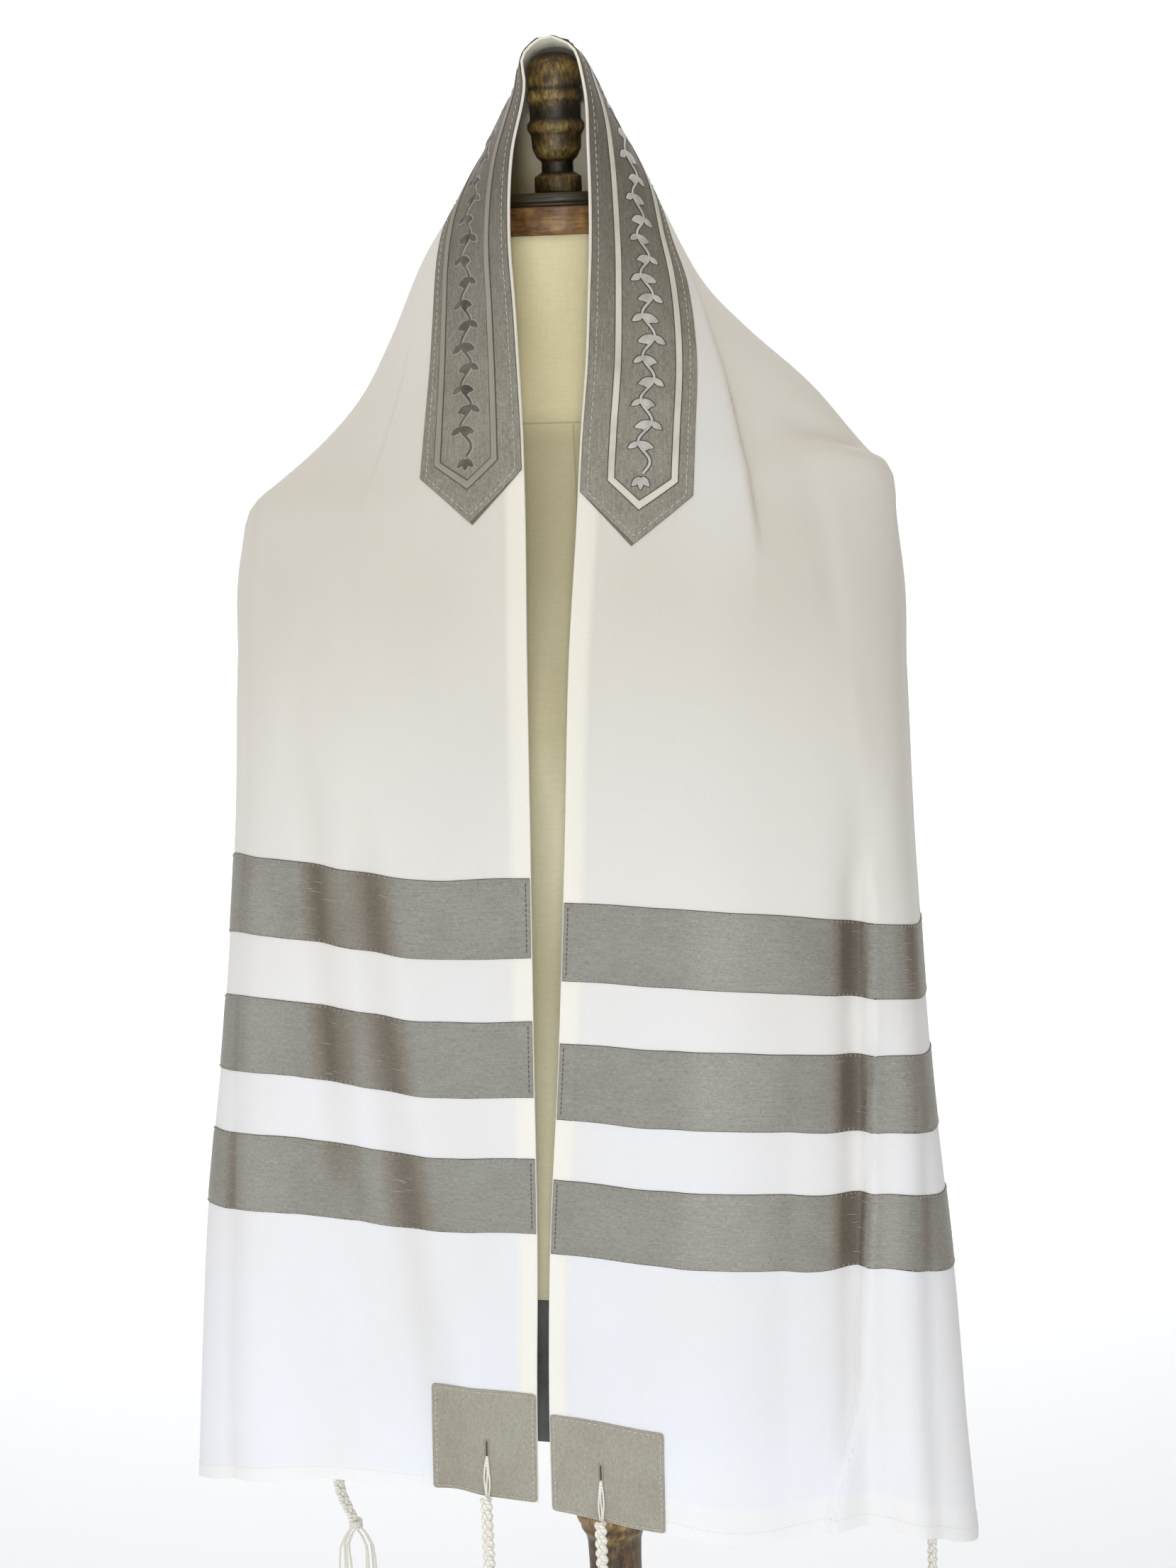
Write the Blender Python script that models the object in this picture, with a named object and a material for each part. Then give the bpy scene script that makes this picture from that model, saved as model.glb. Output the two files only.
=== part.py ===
"""Tallit prayer shawl hung over the finial of a dress form stand.

Metres, +Z up, front at -Y, origin at the middle of the stand's foot.
The shawl is one long rectangle of cloth.  A point on it is given by s, the
distance along its long edge from the finial (left half negative), and t, the
distance across it from the neckband edge.  Every sewn-on piece is made from
the same points, moved out.
"""

import math
from collections import namedtuple

import bmesh
import bpy
import numpy as np

# ---------------------------------------------------------------- shawl sizes
SHAWL_LENGTH = 2.074
SHAWL_WIDTH = 0.508
SLIDE = 0.008          # the shawl hangs this much further down on the right
CLOTH = 0.0012
SEAM_GAP = 0.0003

BAND_WIDTH = 0.0535
BAND_GAP = 0.044
HEM_TO_BAND = 0.202
BAND_COUNT = 3
BAND_CLOTH = 0.0010

EDGE_MARGIN = 0.0025   # white cloth left showing along the edges
NECKBAND_WIDTH = 0.073
NECKBAND_HALF = 0.310  # half length, to the corners
NECKBAND_POINT = 0.033
NECKBAND_POINT_T = 0.0385
NECKBAND_CLOTH = 0.0010
NECKBAND_GAP = 0.0006
RIBBON_WIDTH = 0.0045
RIBBON_INNER = 0.0188  # its inner leg's near side, from the shawl's edge
RIBBON_OUTER = 0.0608  # its outer leg's near side
RIBBON_TURN = -0.008   # where its legs turn in, past the neckband's corner
RIBBON_TIP = 0.011     # its pointed end, past the neckband's corner
RIBBON_POINT_T = 0.0405
RIBBON_TIP_DEPTH = 0.0063
RIBBON_MITRE = 0.0019
RIBBON_CLOTH = 0.0010
CORNER_SQUARE = 0.075

# -------------------------------------------------------------- tassel sizes
HOLE_FROM_HEM = 0.044
HOLE_FROM_EDGE = 0.036
LOOP_WIDTH = 0.0045
LOOP_THICKNESS = 0.0016
LOOP_TAPER = (0.5, 1.0, 0.8)
TASSEL_HEAD = 0.105
HEAD_DROP = 0.006      # from the hem down to the first winding
HEAD_FORWARD = 0.003   # how far its middle stands out of the loop
TASSEL_TOTAL = 0.265
TASSEL_RADIUS = 0.0056
KNOTS = 5
KNOT_SWELL = 0.0012
STRANDS = 8
STRAND_RADIUS = 0.0008
STRAND_STEPS = 4
STRAND_SPREAD = 0.0045
STRAND_SWAY = 0.004
ROOT_SHRINK = 0.55     # a strand's root, against its share of the head's end

# --------------------------------------------------------------- stand sizes
FINIAL_BASE_Z = 1.508
CAP_RADIUS = 0.052
TORSO_TOP_Z = 1.4795
TORSO_BOTTOM_Z = 0.746
SKIRT_BOTTOM_Z = 0.636
POLE_RADIUS = 0.0125
COLUMN_TOP_Z = 0.549
FOOT_HEIGHT = 0.034
FOOT_RADIUS = 0.190

# Half sections of the shawl, one row for each distance s from the finial.
# x is measured outward from the middle, left and right apart.  edge is the
# neckband edge, side is where the cloth turns round the shoulder or the arm,
# bow is how far the front swells out of the straight line between the two,
# and share is how much of the fall from edge to side comes before that swell.
Front = namedtuple(
    "Front",
    "s edge_left edge_right edge_y edge_z"
    " side_left side_right side_y side_left_z side_right_z bow share",
)
FRONT = [
    Front(0.000, -0.003, 0.003, -0.0225, 1.6085, 0.000, 0.000, 0.013, 1.6025, 1.6025, 0.000, 0.6),
    Front(0.012, 0.0095, 0.0130, -0.0235, 1.6055, 0.0130, 0.0135, 0.009, 1.6005, 1.6005, 0.000, 0.6),
    Front(0.022, 0.0150, 0.0190, -0.0255, 1.5990, 0.0200, 0.0205, 0.002, 1.5930, 1.5940, 0.001, 0.5),
    Front(0.045, 0.0145, 0.0255, -0.0320, 1.5780, 0.0285, 0.0305, 0.000, 1.5740, 1.5730, 0.001, 0.5),
    Front(0.090, 0.0210, 0.0300, -0.0520, 1.5350, 0.0605, 0.0600, -0.006, 1.5170, 1.5145, 0.002, 0.5),
    Front(0.145, 0.0220, 0.0320, -0.0690, 1.4800, 0.0945, 0.0875, -0.006, 1.4670, 1.4580, 0.004, 0.5),
    Front(0.190, 0.0185, 0.0310, -0.0800, 1.4370, 0.1200, 0.1235, -0.006, 1.4150, 1.4170, 0.007, 0.5),
    Front(0.230, 0.0155, 0.0300, -0.0910, 1.3980, 0.1450, 0.1650, -0.006, 1.3730, 1.3780, 0.011, 0.5),
    Front(0.280, 0.0125, 0.0265, -0.1030, 1.3500, 0.1900, 0.2080, -0.010, 1.3270, 1.3290, 0.018, 0.5),
    Front(0.297, 0.0120, 0.0255, -0.1063, 1.3336, 0.2070, 0.2215, -0.012, 1.3135, 1.3175, 0.021, 0.5),
    Front(0.319, 0.0116, 0.0243, -0.1099, 1.3124, 0.2275, 0.2240, -0.018, 1.2955, 1.2915, 0.025, 0.45),
    Front(0.340, 0.0115, 0.0230, -0.1130, 1.2920, 0.2325, 0.2250, -0.026, 1.2700, 1.2680, 0.028, 0.4),
    Front(0.420, 0.0125, 0.0165, -0.1220, 1.2130, 0.2335, 0.2245, -0.048, 1.1960, 1.1880, 0.034, 0.3),
    Front(0.560, 0.0155, 0.0080, -0.1265, 1.0730, 0.2400, 0.2310, -0.060, 1.0750, 1.0460, 0.036, 0.2),
    Front(0.700, 0.0195, -0.0020, -0.1265, 0.9330, 0.2570, 0.2410, -0.062, 0.9350, 0.9010, 0.036, 0.2),
    Front(0.850, 0.0240, -0.0150, -0.1250, 0.7830, 0.2810, 0.2580, -0.062, 0.7780, 0.7480, 0.034, 0.2),
    Front(0.950, 0.0290, -0.0200, -0.1240, 0.6830, 0.2930, 0.2660, -0.060, 0.6680, 0.6430, 0.032, 0.2),
    Front(1.048, 0.0325, -0.0225, -0.1220, 0.5850, 0.3030, 0.2740, -0.060, 0.5600, 0.5440, 0.030, 0.2),
]

# The hidden half of each section.  nape and back lie this far inward of the
# side; tail is the shawl's other long edge.
Back = namedtuple(
    "Back",
    "s nape_in nape_y nape_z back_in back_y back_z tail_left tail_right tail_y tail_z",
)
BACK = [
    Back(0.000, 0.000, 0.0240, 1.5860, 0.000, 0.062, 1.508, 0.000, 0.000, 0.124, 1.150),
    Back(0.012, 0.001, 0.0240, 1.5850, -0.001, 0.062, 1.507, 0.011, 0.011, 0.124, 1.150),
    Back(0.022, -0.001, 0.0235, 1.5820, -0.003, 0.062, 1.505, 0.020, 0.020, 0.124, 1.151),
    Back(0.045, -0.008, 0.0270, 1.5450, -0.015, 0.067, 1.470, 0.041, 0.041, 0.124, 1.155),
    Back(0.090, -0.012, 0.0400, 1.4700, -0.020, 0.086, 1.380, 0.082, 0.082, 0.123, 1.168),
    Back(0.145, -0.013, 0.0450, 1.4200, -0.022, 0.097, 1.318, 0.128, 0.128, 0.121, 1.190),
    Back(0.190, -0.012, 0.0460, 1.3750, -0.020, 0.095, 1.300, 0.156, 0.156, 0.119, 1.206),
    Back(0.230, -0.012, 0.0450, 1.3350, -0.015, 0.093, 1.282, 0.175, 0.178, 0.117, 1.216),
    Back(0.280, -0.006, 0.0430, 1.2880, 0.000, 0.091, 1.254, 0.188, 0.192, 0.115, 1.218),
    Back(0.297, -0.004, 0.0412, 1.2740, 0.004, 0.090, 1.244, 0.189, 0.193, 0.115, 1.214),
    Back(0.319, -0.0015, 0.0380, 1.2567, 0.009, 0.089, 1.231, 0.188, 0.192, 0.114, 1.205),
    Back(0.340, 0.000, 0.0350, 1.2400, 0.012, 0.088, 1.218, 0.186, 0.190, 0.114, 1.194),
    Back(0.420, -0.004, 0.0250, 1.1700, 0.014, 0.084, 1.157, 0.170, 0.176, 0.114, 1.136),
    Back(0.560, 0.000, 0.0200, 1.0420, 0.022, 0.080, 1.032, 0.155, 0.164, 0.113, 1.012),
    Back(0.700, 0.006, 0.0200, 0.9020, 0.032, 0.077, 0.893, 0.158, 0.168, 0.109, 0.878),
    Back(0.850, 0.014, 0.0170, 0.7520, 0.040, 0.073, 0.745, 0.178, 0.190, 0.102, 0.734),
    Back(0.950, 0.018, 0.0130, 0.6540, 0.043, 0.068, 0.648, 0.192, 0.206, 0.095, 0.640),
    Back(1.048, 0.020, 0.0100, 0.5560, 0.046, 0.063, 0.552, 0.205, 0.218, 0.088, 0.544),
]

# Soft troughs (depth below 0) and ridges.  side is -1 left, 1 right, 0 both.
Fold = namedtuple("Fold", "side s_top s_bottom t_top t_bottom width depth")
FOLDS = [
    Fold(-1, 0.42, 0.90, 0.162, 0.140, 0.016, -0.0050),
    Fold(-1, 0.46, 1.30, 0.116, 0.045, 0.018, -0.0045),
    Fold(-1, 0.50, 1.30, 0.205, 0.215, 0.022, 0.0050),
    Fold(1, 0.16, 0.34, 0.098, 0.120, 0.014, -0.0060),
    Fold(1, 0.50, 1.30, 0.120, 0.130, 0.040, 0.0060),
    Fold(1, 0.46, 1.30, 0.205, 0.235, 0.017, -0.0075),
    Fold(1, 0.60, 1.30, 0.245, 0.272, 0.014, 0.0050),
    Fold(0, 0.40, 1.30, 0.385, 0.370, 0.018, -0.0070),
    Fold(0, 0.44, 1.30, 0.435, 0.430, 0.018, 0.0060),
    Fold(0, -0.40, 0.26, 0.215, 0.215, 0.020, 0.0050),
    Fold(0, -0.40, 0.30, 0.290, 0.260, 0.018, 0.0060),
    Fold(0, -0.40, 0.34, 0.365, 0.300, 0.018, 0.0070),
    Fold(0, -0.40, 0.38, 0.440, 0.350, 0.018, 0.0080),
    Fold(0, -0.40, 0.28, 0.252, 0.236, 0.016, -0.0030),
    Fold(0, -0.40, 0.32, 0.328, 0.278, 0.016, -0.0040),
]
FOLD_FADE = 0.14

# Level sections of the form's body: half width, half depth, middle in y.
Ring = namedtuple("Ring", "z half_width half_depth middle_y")
TORSO = [
    Ring(TORSO_TOP_Z, 0.0500, 0.0500, 0.000),
    Ring(1.440, 0.0505, 0.0520, 0.000),
    Ring(1.405, 0.0580, 0.0570, 0.001),
    Ring(1.380, 0.0850, 0.0640, 0.002),
    Ring(1.355, 0.1250, 0.0720, 0.003),
    Ring(1.330, 0.1600, 0.0780, 0.003),
    Ring(1.300, 0.1800, 0.0840, 0.002),
    Ring(1.260, 0.1830, 0.0920, 0.000),
    Ring(1.210, 0.1740, 0.1010, -0.004),
    Ring(1.160, 0.1600, 0.1080, -0.007),
    Ring(1.100, 0.1430, 0.1020, -0.006),
    Ring(1.040, 0.1270, 0.0900, -0.003),
    Ring(0.990, 0.1200, 0.0850, 0.000),
    Ring(0.930, 0.1300, 0.0920, 0.001),
    Ring(0.870, 0.1480, 0.1010, 0.001),
    Ring(0.810, 0.1610, 0.1060, 0.000),
    Ring(TORSO_BOTTOM_Z, 0.1650, 0.1080, 0.000),
]
SKIRT = [
    Ring(TORSO_BOTTOM_Z - SEAM_GAP, 0.1620, 0.1050, 0.000),
    Ring(0.690, 0.1600, 0.1040, 0.000),
    Ring(SKIRT_BOTTOM_Z, 0.1560, 0.1010, 0.000),
]
TORSO_SIDES = 36
TORSO_SQUARENESS = 2.3

# Turned outlines, top to bottom: radius and height.
FINIAL = [
    (0.0000, 1.6013), (0.0080, 1.6005), (0.0139, 1.5976), (0.0175, 1.5925),
    (0.0184, 1.5870), (0.0184, 1.5795), (0.0174, 1.5770), (0.0192, 1.5745),
    (0.0194, 1.5700), (0.0176, 1.5675), (0.0174, 1.5565), (0.0196, 1.5535),
    (0.0196, 1.5500), (0.0172, 1.5460), (0.0166, 1.5370), (0.0136, 1.5310),
    (0.0108, 1.5285), (0.0108, 1.5215), (0.0160, 1.5185), (0.0162, FINIAL_BASE_Z),
    (0.0000, FINIAL_BASE_Z),
]
CAP = [
    (0.0000, 1.5077), (CAP_RADIUS - 0.004, 1.5077), (CAP_RADIUS, 1.5050),
    (CAP_RADIUS, 1.5020), (CAP_RADIUS - 0.0025, 1.5005), (CAP_RADIUS - 0.0025, 1.4990),
    (CAP_RADIUS, 1.4980), (CAP_RADIUS, 1.4825), (CAP_RADIUS - 0.002, 1.4798),
    (0.0000, 1.4798),
]
COLUMN = [
    (0.0000, 0.5490), (0.0215, 0.5490), (0.0262, 0.5462), (0.0287, 0.5415),
    (0.0278, 0.5350), (0.0250, 0.5300), (0.0246, 0.5265), (0.0222, 0.5235),
    (0.0202, 0.5170), (0.0196, 0.5000), (0.0192, 0.4300), (0.0200, 0.3800),
    (0.0240, 0.3700), (0.0240, 0.3620), (0.0205, 0.3540), (0.0225, 0.3200),
    (0.0300, 0.2500), (0.0335, 0.1900), (0.0310, 0.1300), (0.0220, 0.0950),
    (0.0205, 0.0860), (0.0300, 0.0780), (0.0300, 0.0680), (0.0235, 0.0600),
    (0.0330, 0.0480), (0.0340, FOOT_HEIGHT + SEAM_GAP), (0.0000, FOOT_HEIGHT + SEAM_GAP),
]
FOOT = [
    (0.0000, FOOT_HEIGHT), (0.0600, FOOT_HEIGHT), (0.0750, 0.0300), (0.1450, 0.0240),
    (0.1580, 0.0200), (0.1820, 0.0165), (FOOT_RADIUS, 0.0100), (FOOT_RADIUS, 0.0020),
    (FOOT_RADIUS - 0.002, 0.0000), (0.0000, 0.0000),
]
FINE_SIDES = 24
FOOT_SIDES = 40


# ------------------------------------------------------------ smooth curves
def tangents(knots, values):
    """Slope of a smooth curve at each knot, from its neighbours."""
    step = np.diff(knots)
    slope = np.diff(values, axis=0) / step[:, None]
    inner = (slope[:-1] * step[1:, None] + slope[1:] * step[:-1, None]) / (
        step[:-1] + step[1:]
    )[:, None]
    return np.vstack([slope[:1], inner, slope[-1:]])


def smooth(knots, values, at):
    """Values of the smooth curve through (knots, values) at each given place."""
    knots = np.asarray(knots, float)
    values = np.asarray(values, float)
    at = np.clip(np.atleast_1d(np.asarray(at, float)), knots[0], knots[-1])
    slope = tangents(knots, values)
    i = np.clip(np.searchsorted(knots, at, side="right") - 1, 0, len(knots) - 2)
    h = knots[i + 1] - knots[i]
    u = ((at - knots[i]) / h)[:, None]
    h = h[:, None]
    return (
        values[i] * (2 * u**3 - 3 * u**2 + 1)
        + slope[i] * h * (u**3 - 2 * u**2 + u)
        + values[i + 1] * (3 * u**2 - 2 * u**3)
        + slope[i + 1] * h * (u**3 - u**2)
    )


def ease(value):
    """0 to 1, with a soft start and end."""
    value = np.clip(value, 0.0, 1.0)
    return value * value * (3 - 2 * value)


# ------------------------------------------------------------- shawl surface
def half_stations(front, back, side):
    """The six points that one section passes through, on one side."""
    left = side < 0
    edge_x = front.edge_left if left else front.edge_right
    side_x = front.side_left if left else front.side_right
    side_z = front.side_left_z if left else front.side_right_z
    tail_x = back.tail_left if left else back.tail_right
    edge = np.array([edge_x, front.edge_y, front.edge_z])
    turn = np.array([side_x, front.side_y, side_z])
    run = turn - edge
    across = max(math.hypot(run[0], run[1]), 1e-6)
    outward = np.array([-run[1], run[0], 0.0]) / across
    if across < 0.03:
        outward = np.array([0.0, 0.0, 1.0])
    else:
        outward = -outward if outward[1] > 0 else outward
    chest = edge + run * (0.52, 0.52, front.share) + outward * front.bow
    nape = np.array([side_x - back.nape_in, back.nape_y, back.nape_z])
    rear = np.array([side_x - back.back_in, back.back_y, back.back_z])
    tail = np.array([tail_x, back.tail_y, back.tail_z])
    points = np.array([edge, chest, turn, nape, rear, tail])
    points[:, 0] *= side
    return points


def station_table():
    """Signed distance along the shawl against its section's six points."""
    rows = []
    for front, back in zip(reversed(FRONT[1:]), reversed(BACK[1:])):
        rows.append((-front.s, half_stations(front, back, -1)))
    for front, back in zip(FRONT, BACK):
        rows.append((front.s, half_stations(front, back, 1)))
    knots = np.array([s for s, _ in rows])
    values = np.array([points.ravel() for _, points in rows])
    return knots, values


STATION_KNOTS, STATION_VALUES = station_table()
SIDE_STATION = 2
SECTION_STEPS = 160


def section_curve(s):
    """The section's curve, its running length, and the length at its side."""
    points = smooth(STATION_KNOTS, STATION_VALUES, s)[0].reshape(-1, 3)
    gaps = np.linalg.norm(np.diff(points, axis=0), axis=1)
    knots = np.concatenate([[0.0], np.cumsum(gaps)])
    at = np.linspace(0.0, knots[-1], SECTION_STEPS)
    curve = smooth(knots, points, at)
    length = np.concatenate([[0.0], np.cumsum(np.linalg.norm(np.diff(curve, axis=0), axis=1))])
    side_length = np.interp(knots[SIDE_STATION], at, length)
    return curve, length, side_length


def plain_point(s, t):
    """The shawl before its folds.  t is a true length as far as the side."""
    curve, length, side_length = section_curve(s)
    t = np.atleast_1d(np.asarray(t, float))
    rest = (length[-1] - side_length) / (SHAWL_WIDTH - side_length)
    run = np.where(t <= side_length, t, side_length + (t - side_length) * rest)
    return np.stack([np.interp(run, length, curve[:, k]) for k in range(3)], axis=1)


def fold_height(s, t):
    """How far the folds move the cloth out of the plain surface."""
    side = -1 if s < 0 else 1
    reach = abs(s)
    height = np.zeros_like(t)
    for fold in FOLDS:
        if fold.side not in (0, side):
            continue
        along = ease((reach - max(fold.s_top, 0.0)) / (fold.s_bottom - max(fold.s_top, 0.0)))
        middle = fold.t_top + (fold.t_bottom - fold.t_top) * along
        fade = ease((reach - fold.s_top) / FOLD_FADE) * ease((fold.s_bottom - reach) / FOLD_FADE)
        height += fold.depth * fade * np.exp(-(((t - middle) / fold.width) ** 2))
    return height


NORMAL_STEP = 0.002


def plain_layer(rows, lines):
    """The unfolded surface at every row and line."""
    return np.array([plain_point(s, lines) for s in rows])


def directions(layer_at, rows, lines):
    """Outward direction of a surface at every row and line."""
    along = layer_at(rows + NORMAL_STEP, lines) - layer_at(rows - NORMAL_STEP, lines)
    over = layer_at(rows, lines + NORMAL_STEP) - layer_at(rows, lines - NORMAL_STEP)
    normal = np.cross(along, over)
    return normal / np.linalg.norm(normal, axis=2, keepdims=True)


def surface_grid(rows, lines):
    """Points and outward directions of the shawl's middle layer."""
    rows = np.asarray(rows, float)
    lines = np.asarray(lines, float)
    plain_normal = directions(plain_layer, rows, lines)

    def folded_layer(some_rows, some_lines):
        height = np.array([fold_height(s, some_lines) for s in some_rows])
        return plain_layer(some_rows, some_lines) + plain_normal * height[:, :, None]

    return folded_layer(rows, lines), directions(folded_layer, rows, lines)


# Rows of points down each side, closer together where the cloth bends more.
SHOULDER_ROWS = (
    0.010, 0.020, 0.031, 0.044, 0.060, 0.078, 0.098, 0.120, 0.143, 0.167, 0.192,
    0.218, 0.245, 0.273,
)
CHEST_ROWS = (0.388, 0.428, 0.472, 0.515, 0.552)
LINES_BETWEEN = 12


def grid_lines():
    """The values of t at which the shawl's points lie."""
    width = SHAWL_WIDTH
    near = [
        0.0, EDGE_MARGIN, RIBBON_INNER, RIBBON_INNER + RIBBON_WIDTH, NECKBAND_POINT_T,
        RIBBON_OUTER, RIBBON_OUTER + RIBBON_WIDTH, EDGE_MARGIN + NECKBAND_WIDTH,
    ]
    far_square = width - EDGE_MARGIN - CORNER_SQUARE
    between = list(np.linspace(near[-1], far_square, LINES_BETWEEN + 2)[1:-1])
    far = [far_square, far_square + CORNER_SQUARE / 2, width - EDGE_MARGIN, width]
    return near + between + far


def half_rows(side):
    """The distances s, on one side, at which the shawl's points lie."""
    half = SHAWL_LENGTH / 2 + side * SLIDE
    corner = NECKBAND_HALF + side * SLIDE
    rows = list(SHOULDER_ROWS)
    rows += [corner + RIBBON_TURN, corner, corner + RIBBON_TIP]
    rows += [corner + (RIBBON_TIP + NECKBAND_POINT) / 2, corner + NECKBAND_POINT]
    rows += list(CHEST_ROWS)
    for top, bottom in sorted(band_places(side)):
        rows += [top, (top + bottom) / 2, bottom]
    square_top = half - EDGE_MARGIN - CORNER_SQUARE
    gap = HEM_TO_BAND - EDGE_MARGIN - CORNER_SQUARE
    rows += [square_top - gap * 0.6, square_top - gap * 0.3]
    rows += [square_top, square_top + CORNER_SQUARE / 2, half - EDGE_MARGIN, half]
    return rows


def band_places(side):
    """Top and bottom of each band on one side, as distances s."""
    half = SHAWL_LENGTH / 2 + side * SLIDE
    places = []
    for k in range(BAND_COUNT):
        bottom = half - HEM_TO_BAND - k * (BAND_WIDTH + BAND_GAP)
        places.append((bottom - BAND_WIDTH, bottom))
    return places


LINES = grid_lines()
ROWS = [-s for s in reversed(half_rows(-1))] + [0.0] + half_rows(1)
POINTS, NORMALS = surface_grid(ROWS, LINES)


# -------------------------------------------------------------- mesh helpers
def make_material(name, colour, roughness, metallic=0.0):
    """A plain finish for one kind of piece."""
    material = bpy.data.materials.new(name)
    material.use_nodes = True
    shader = material.node_tree.nodes["Principled BSDF"]
    shader.inputs["Base Color"].default_value = (*colour, 1.0)
    shader.inputs["Roughness"].default_value = roughness
    shader.inputs["Metallic"].default_value = metallic
    material.diffuse_color = (*colour, 1.0)
    return material


def make_object(name, mesh_builder, material):
    """Put a finished bmesh into the scene as one named object."""
    mesh = bpy.data.meshes.new(name)
    bmesh.ops.recalc_face_normals(mesh_builder, faces=mesh_builder.faces)
    mesh_builder.to_mesh(mesh)
    mesh_builder.free()
    mesh.materials.append(material)
    mesh.shade_smooth()
    mesh.set_sharp_from_angle(angle=math.radians(40))
    obj = bpy.data.objects.new(name, mesh)
    bpy.context.collection.objects.link(obj)
    return obj


def index_of(values, value):
    """Place of a value in a list of numbers."""
    return int(np.argmin(np.abs(np.asarray(values) - value)))


def between_points(row, place):
    """Point and direction on a row of points, at a whole or part line index."""
    base = min(int(math.floor(place)), len(LINES) - 2)
    part = place - base
    point = POINTS[row][base] * (1 - part) + POINTS[row][base + 1] * part
    normal = NORMALS[row][base] * (1 - part) + NORMALS[row][base + 1] * part
    return point, normal


def on_facet(s, t):
    """Point and direction at any place, on the flat faces between points."""
    row = int(np.clip(np.searchsorted(ROWS, s, side="right") - 1, 0, len(ROWS) - 2))
    line = int(np.clip(np.searchsorted(LINES, t, side="right") - 1, 0, len(LINES) - 2))
    down = (s - ROWS[row]) / (ROWS[row + 1] - ROWS[row])
    over = (t - LINES[line]) / (LINES[line + 1] - LINES[line])
    values = []
    for grid in (POINTS, NORMALS):
        first = grid[row][line]
        last = grid[row + 1][line + 1]
        if over >= down:
            side = grid[row][line + 1]
            values.append(first + (side - first) * over + (last - side) * down)
        else:
            side = grid[row + 1][line]
            values.append(first + (side - first) * down + (last - side) * over)
    return values


def wall(name, outline, low, high, material):
    """A closed wall over grid cells, from offset low to offset high.

    outline lists, for each row index, the first and last point across.  A
    point across is a line index, or a fraction of one at a slanted edge.
    """
    builder = bmesh.new()
    layers = []
    for offset in (low, high):
        rings = []
        for row, across in outline:
            ring = []
            for place in across:
                point, normal = between_points(row, place)
                ring.append(builder.verts.new(point + normal * offset))
            rings.append(ring)
        layers.append(rings)
    for rings in layers:
        for upper, lower in zip(rings, rings[1:]):
            stitch(builder, upper, lower)
    under, over = layers
    for k in range(len(under) - 1):
        for end in (0, -1):
            quad(builder, under[k][end], under[k + 1][end], over[k + 1][end], over[k][end])
    for row in (0, -1):
        for k in range(len(under[row]) - 1):
            quad(builder, under[row][k], under[row][k + 1], over[row][k + 1], over[row][k])
    return make_object(name, builder, material)


def quad(builder, *corners):
    """One face between different corners."""
    distinct = []
    for corner in corners:
        if corner not in distinct:
            distinct.append(corner)
    builder.faces.new(distinct)


def stitch(builder, upper, lower):
    """Faces between two rows; a row of one point closes them to a tip."""
    if len(upper) == len(lower):
        for k in range(len(upper) - 1):
            builder.faces.new((upper[k], upper[k + 1], lower[k + 1]))
            builder.faces.new((upper[k], lower[k + 1], lower[k]))
        return
    point = upper[0] if len(upper) == 1 else lower[0]
    row = lower if len(upper) == 1 else upper
    for k in range(len(row) - 1):
        builder.faces.new((row[k], row[k + 1], point))


def full_outline(first_s, last_s, first_t, last_t):
    """Whole grid cells between two distances and two lines."""
    first_row = index_of(ROWS, first_s)
    last_row = index_of(ROWS, last_s)
    across = list(range(index_of(LINES, first_t), index_of(LINES, last_t) + 1))
    return [(row, across) for row in range(first_row, last_row + 1)]


def turned(name, outline, sides, material):
    """A turned piece, from its half outline, top to bottom."""
    builder = bmesh.new()
    rings = []
    for radius, z in outline:
        if radius == 0.0:
            rings.append([builder.verts.new((0.0, 0.0, z))])
            continue
        rings.append([
            builder.verts.new((
                radius * math.cos(2 * math.pi * k / sides),
                radius * math.sin(2 * math.pi * k / sides),
                z,
            ))
            for k in range(sides)
        ])
    close_rings(builder, rings)
    return make_object(name, builder, material)


def close_rings(builder, rings):
    """Skin a stack of closed rings; a ring of one point is a pole."""
    for upper, lower in zip(rings, rings[1:]):
        count = max(len(upper), len(lower))
        for k in range(count):
            n = (k + 1) % count
            if len(upper) == 1:
                builder.faces.new((upper[0], lower[k], lower[n]))
            elif len(lower) == 1:
                builder.faces.new((upper[k], upper[n], lower[0]))
            else:
                builder.faces.new((upper[k], upper[n], lower[n], lower[k]))


# -------------------------------------------------------------------- pieces
def build_cloth(material):
    """The long white rectangle, as a thin wall."""
    outline = full_outline(ROWS[0], ROWS[-1], LINES[0], LINES[-1])
    wall("tallit_cloth", outline, -CLOTH / 2, CLOTH / 2, material)


def build_bands(material):
    """Three grey bands across each half, round to the far edge."""
    low = CLOTH / 2 + SEAM_GAP
    for side, word in ((-1, "left"), (1, "right")):
        for number, (top, bottom) in enumerate(reversed(band_places(side)), start=1):
            ends = sorted((side * top, side * bottom))
            outline = full_outline(*ends, EDGE_MARGIN, SHAWL_WIDTH - EDGE_MARGIN)
            wall(f"band_{word}_{number}", outline, low, low + BAND_CLOTH, material)


def pointed_outline(first_t, last_t, corner, point, middle):
    """Cells of a strip along the edge, narrowing to a point at each end."""
    places = range(len(LINES))
    across = list(range(index_of(LINES, first_t), index_of(LINES, last_t) + 1))
    outline = []
    for row, s in enumerate(ROWS):
        side = -1 if s < 0 else 1
        reach = abs(s) - side * SLIDE
        if reach <= corner + 1e-6:
            outline.append((row, across))
        elif reach <= corner + point - 1e-6:
            keep = 1 - (reach - corner) / point
            narrowed = [middle + (LINES[k] - middle) * keep for k in across]
            outline.append((row, list(np.interp(narrowed, LINES, places))))
        elif reach <= corner + point + 1e-6:
            outline.append((row, [LINES.index(middle)]))
    return outline


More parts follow.
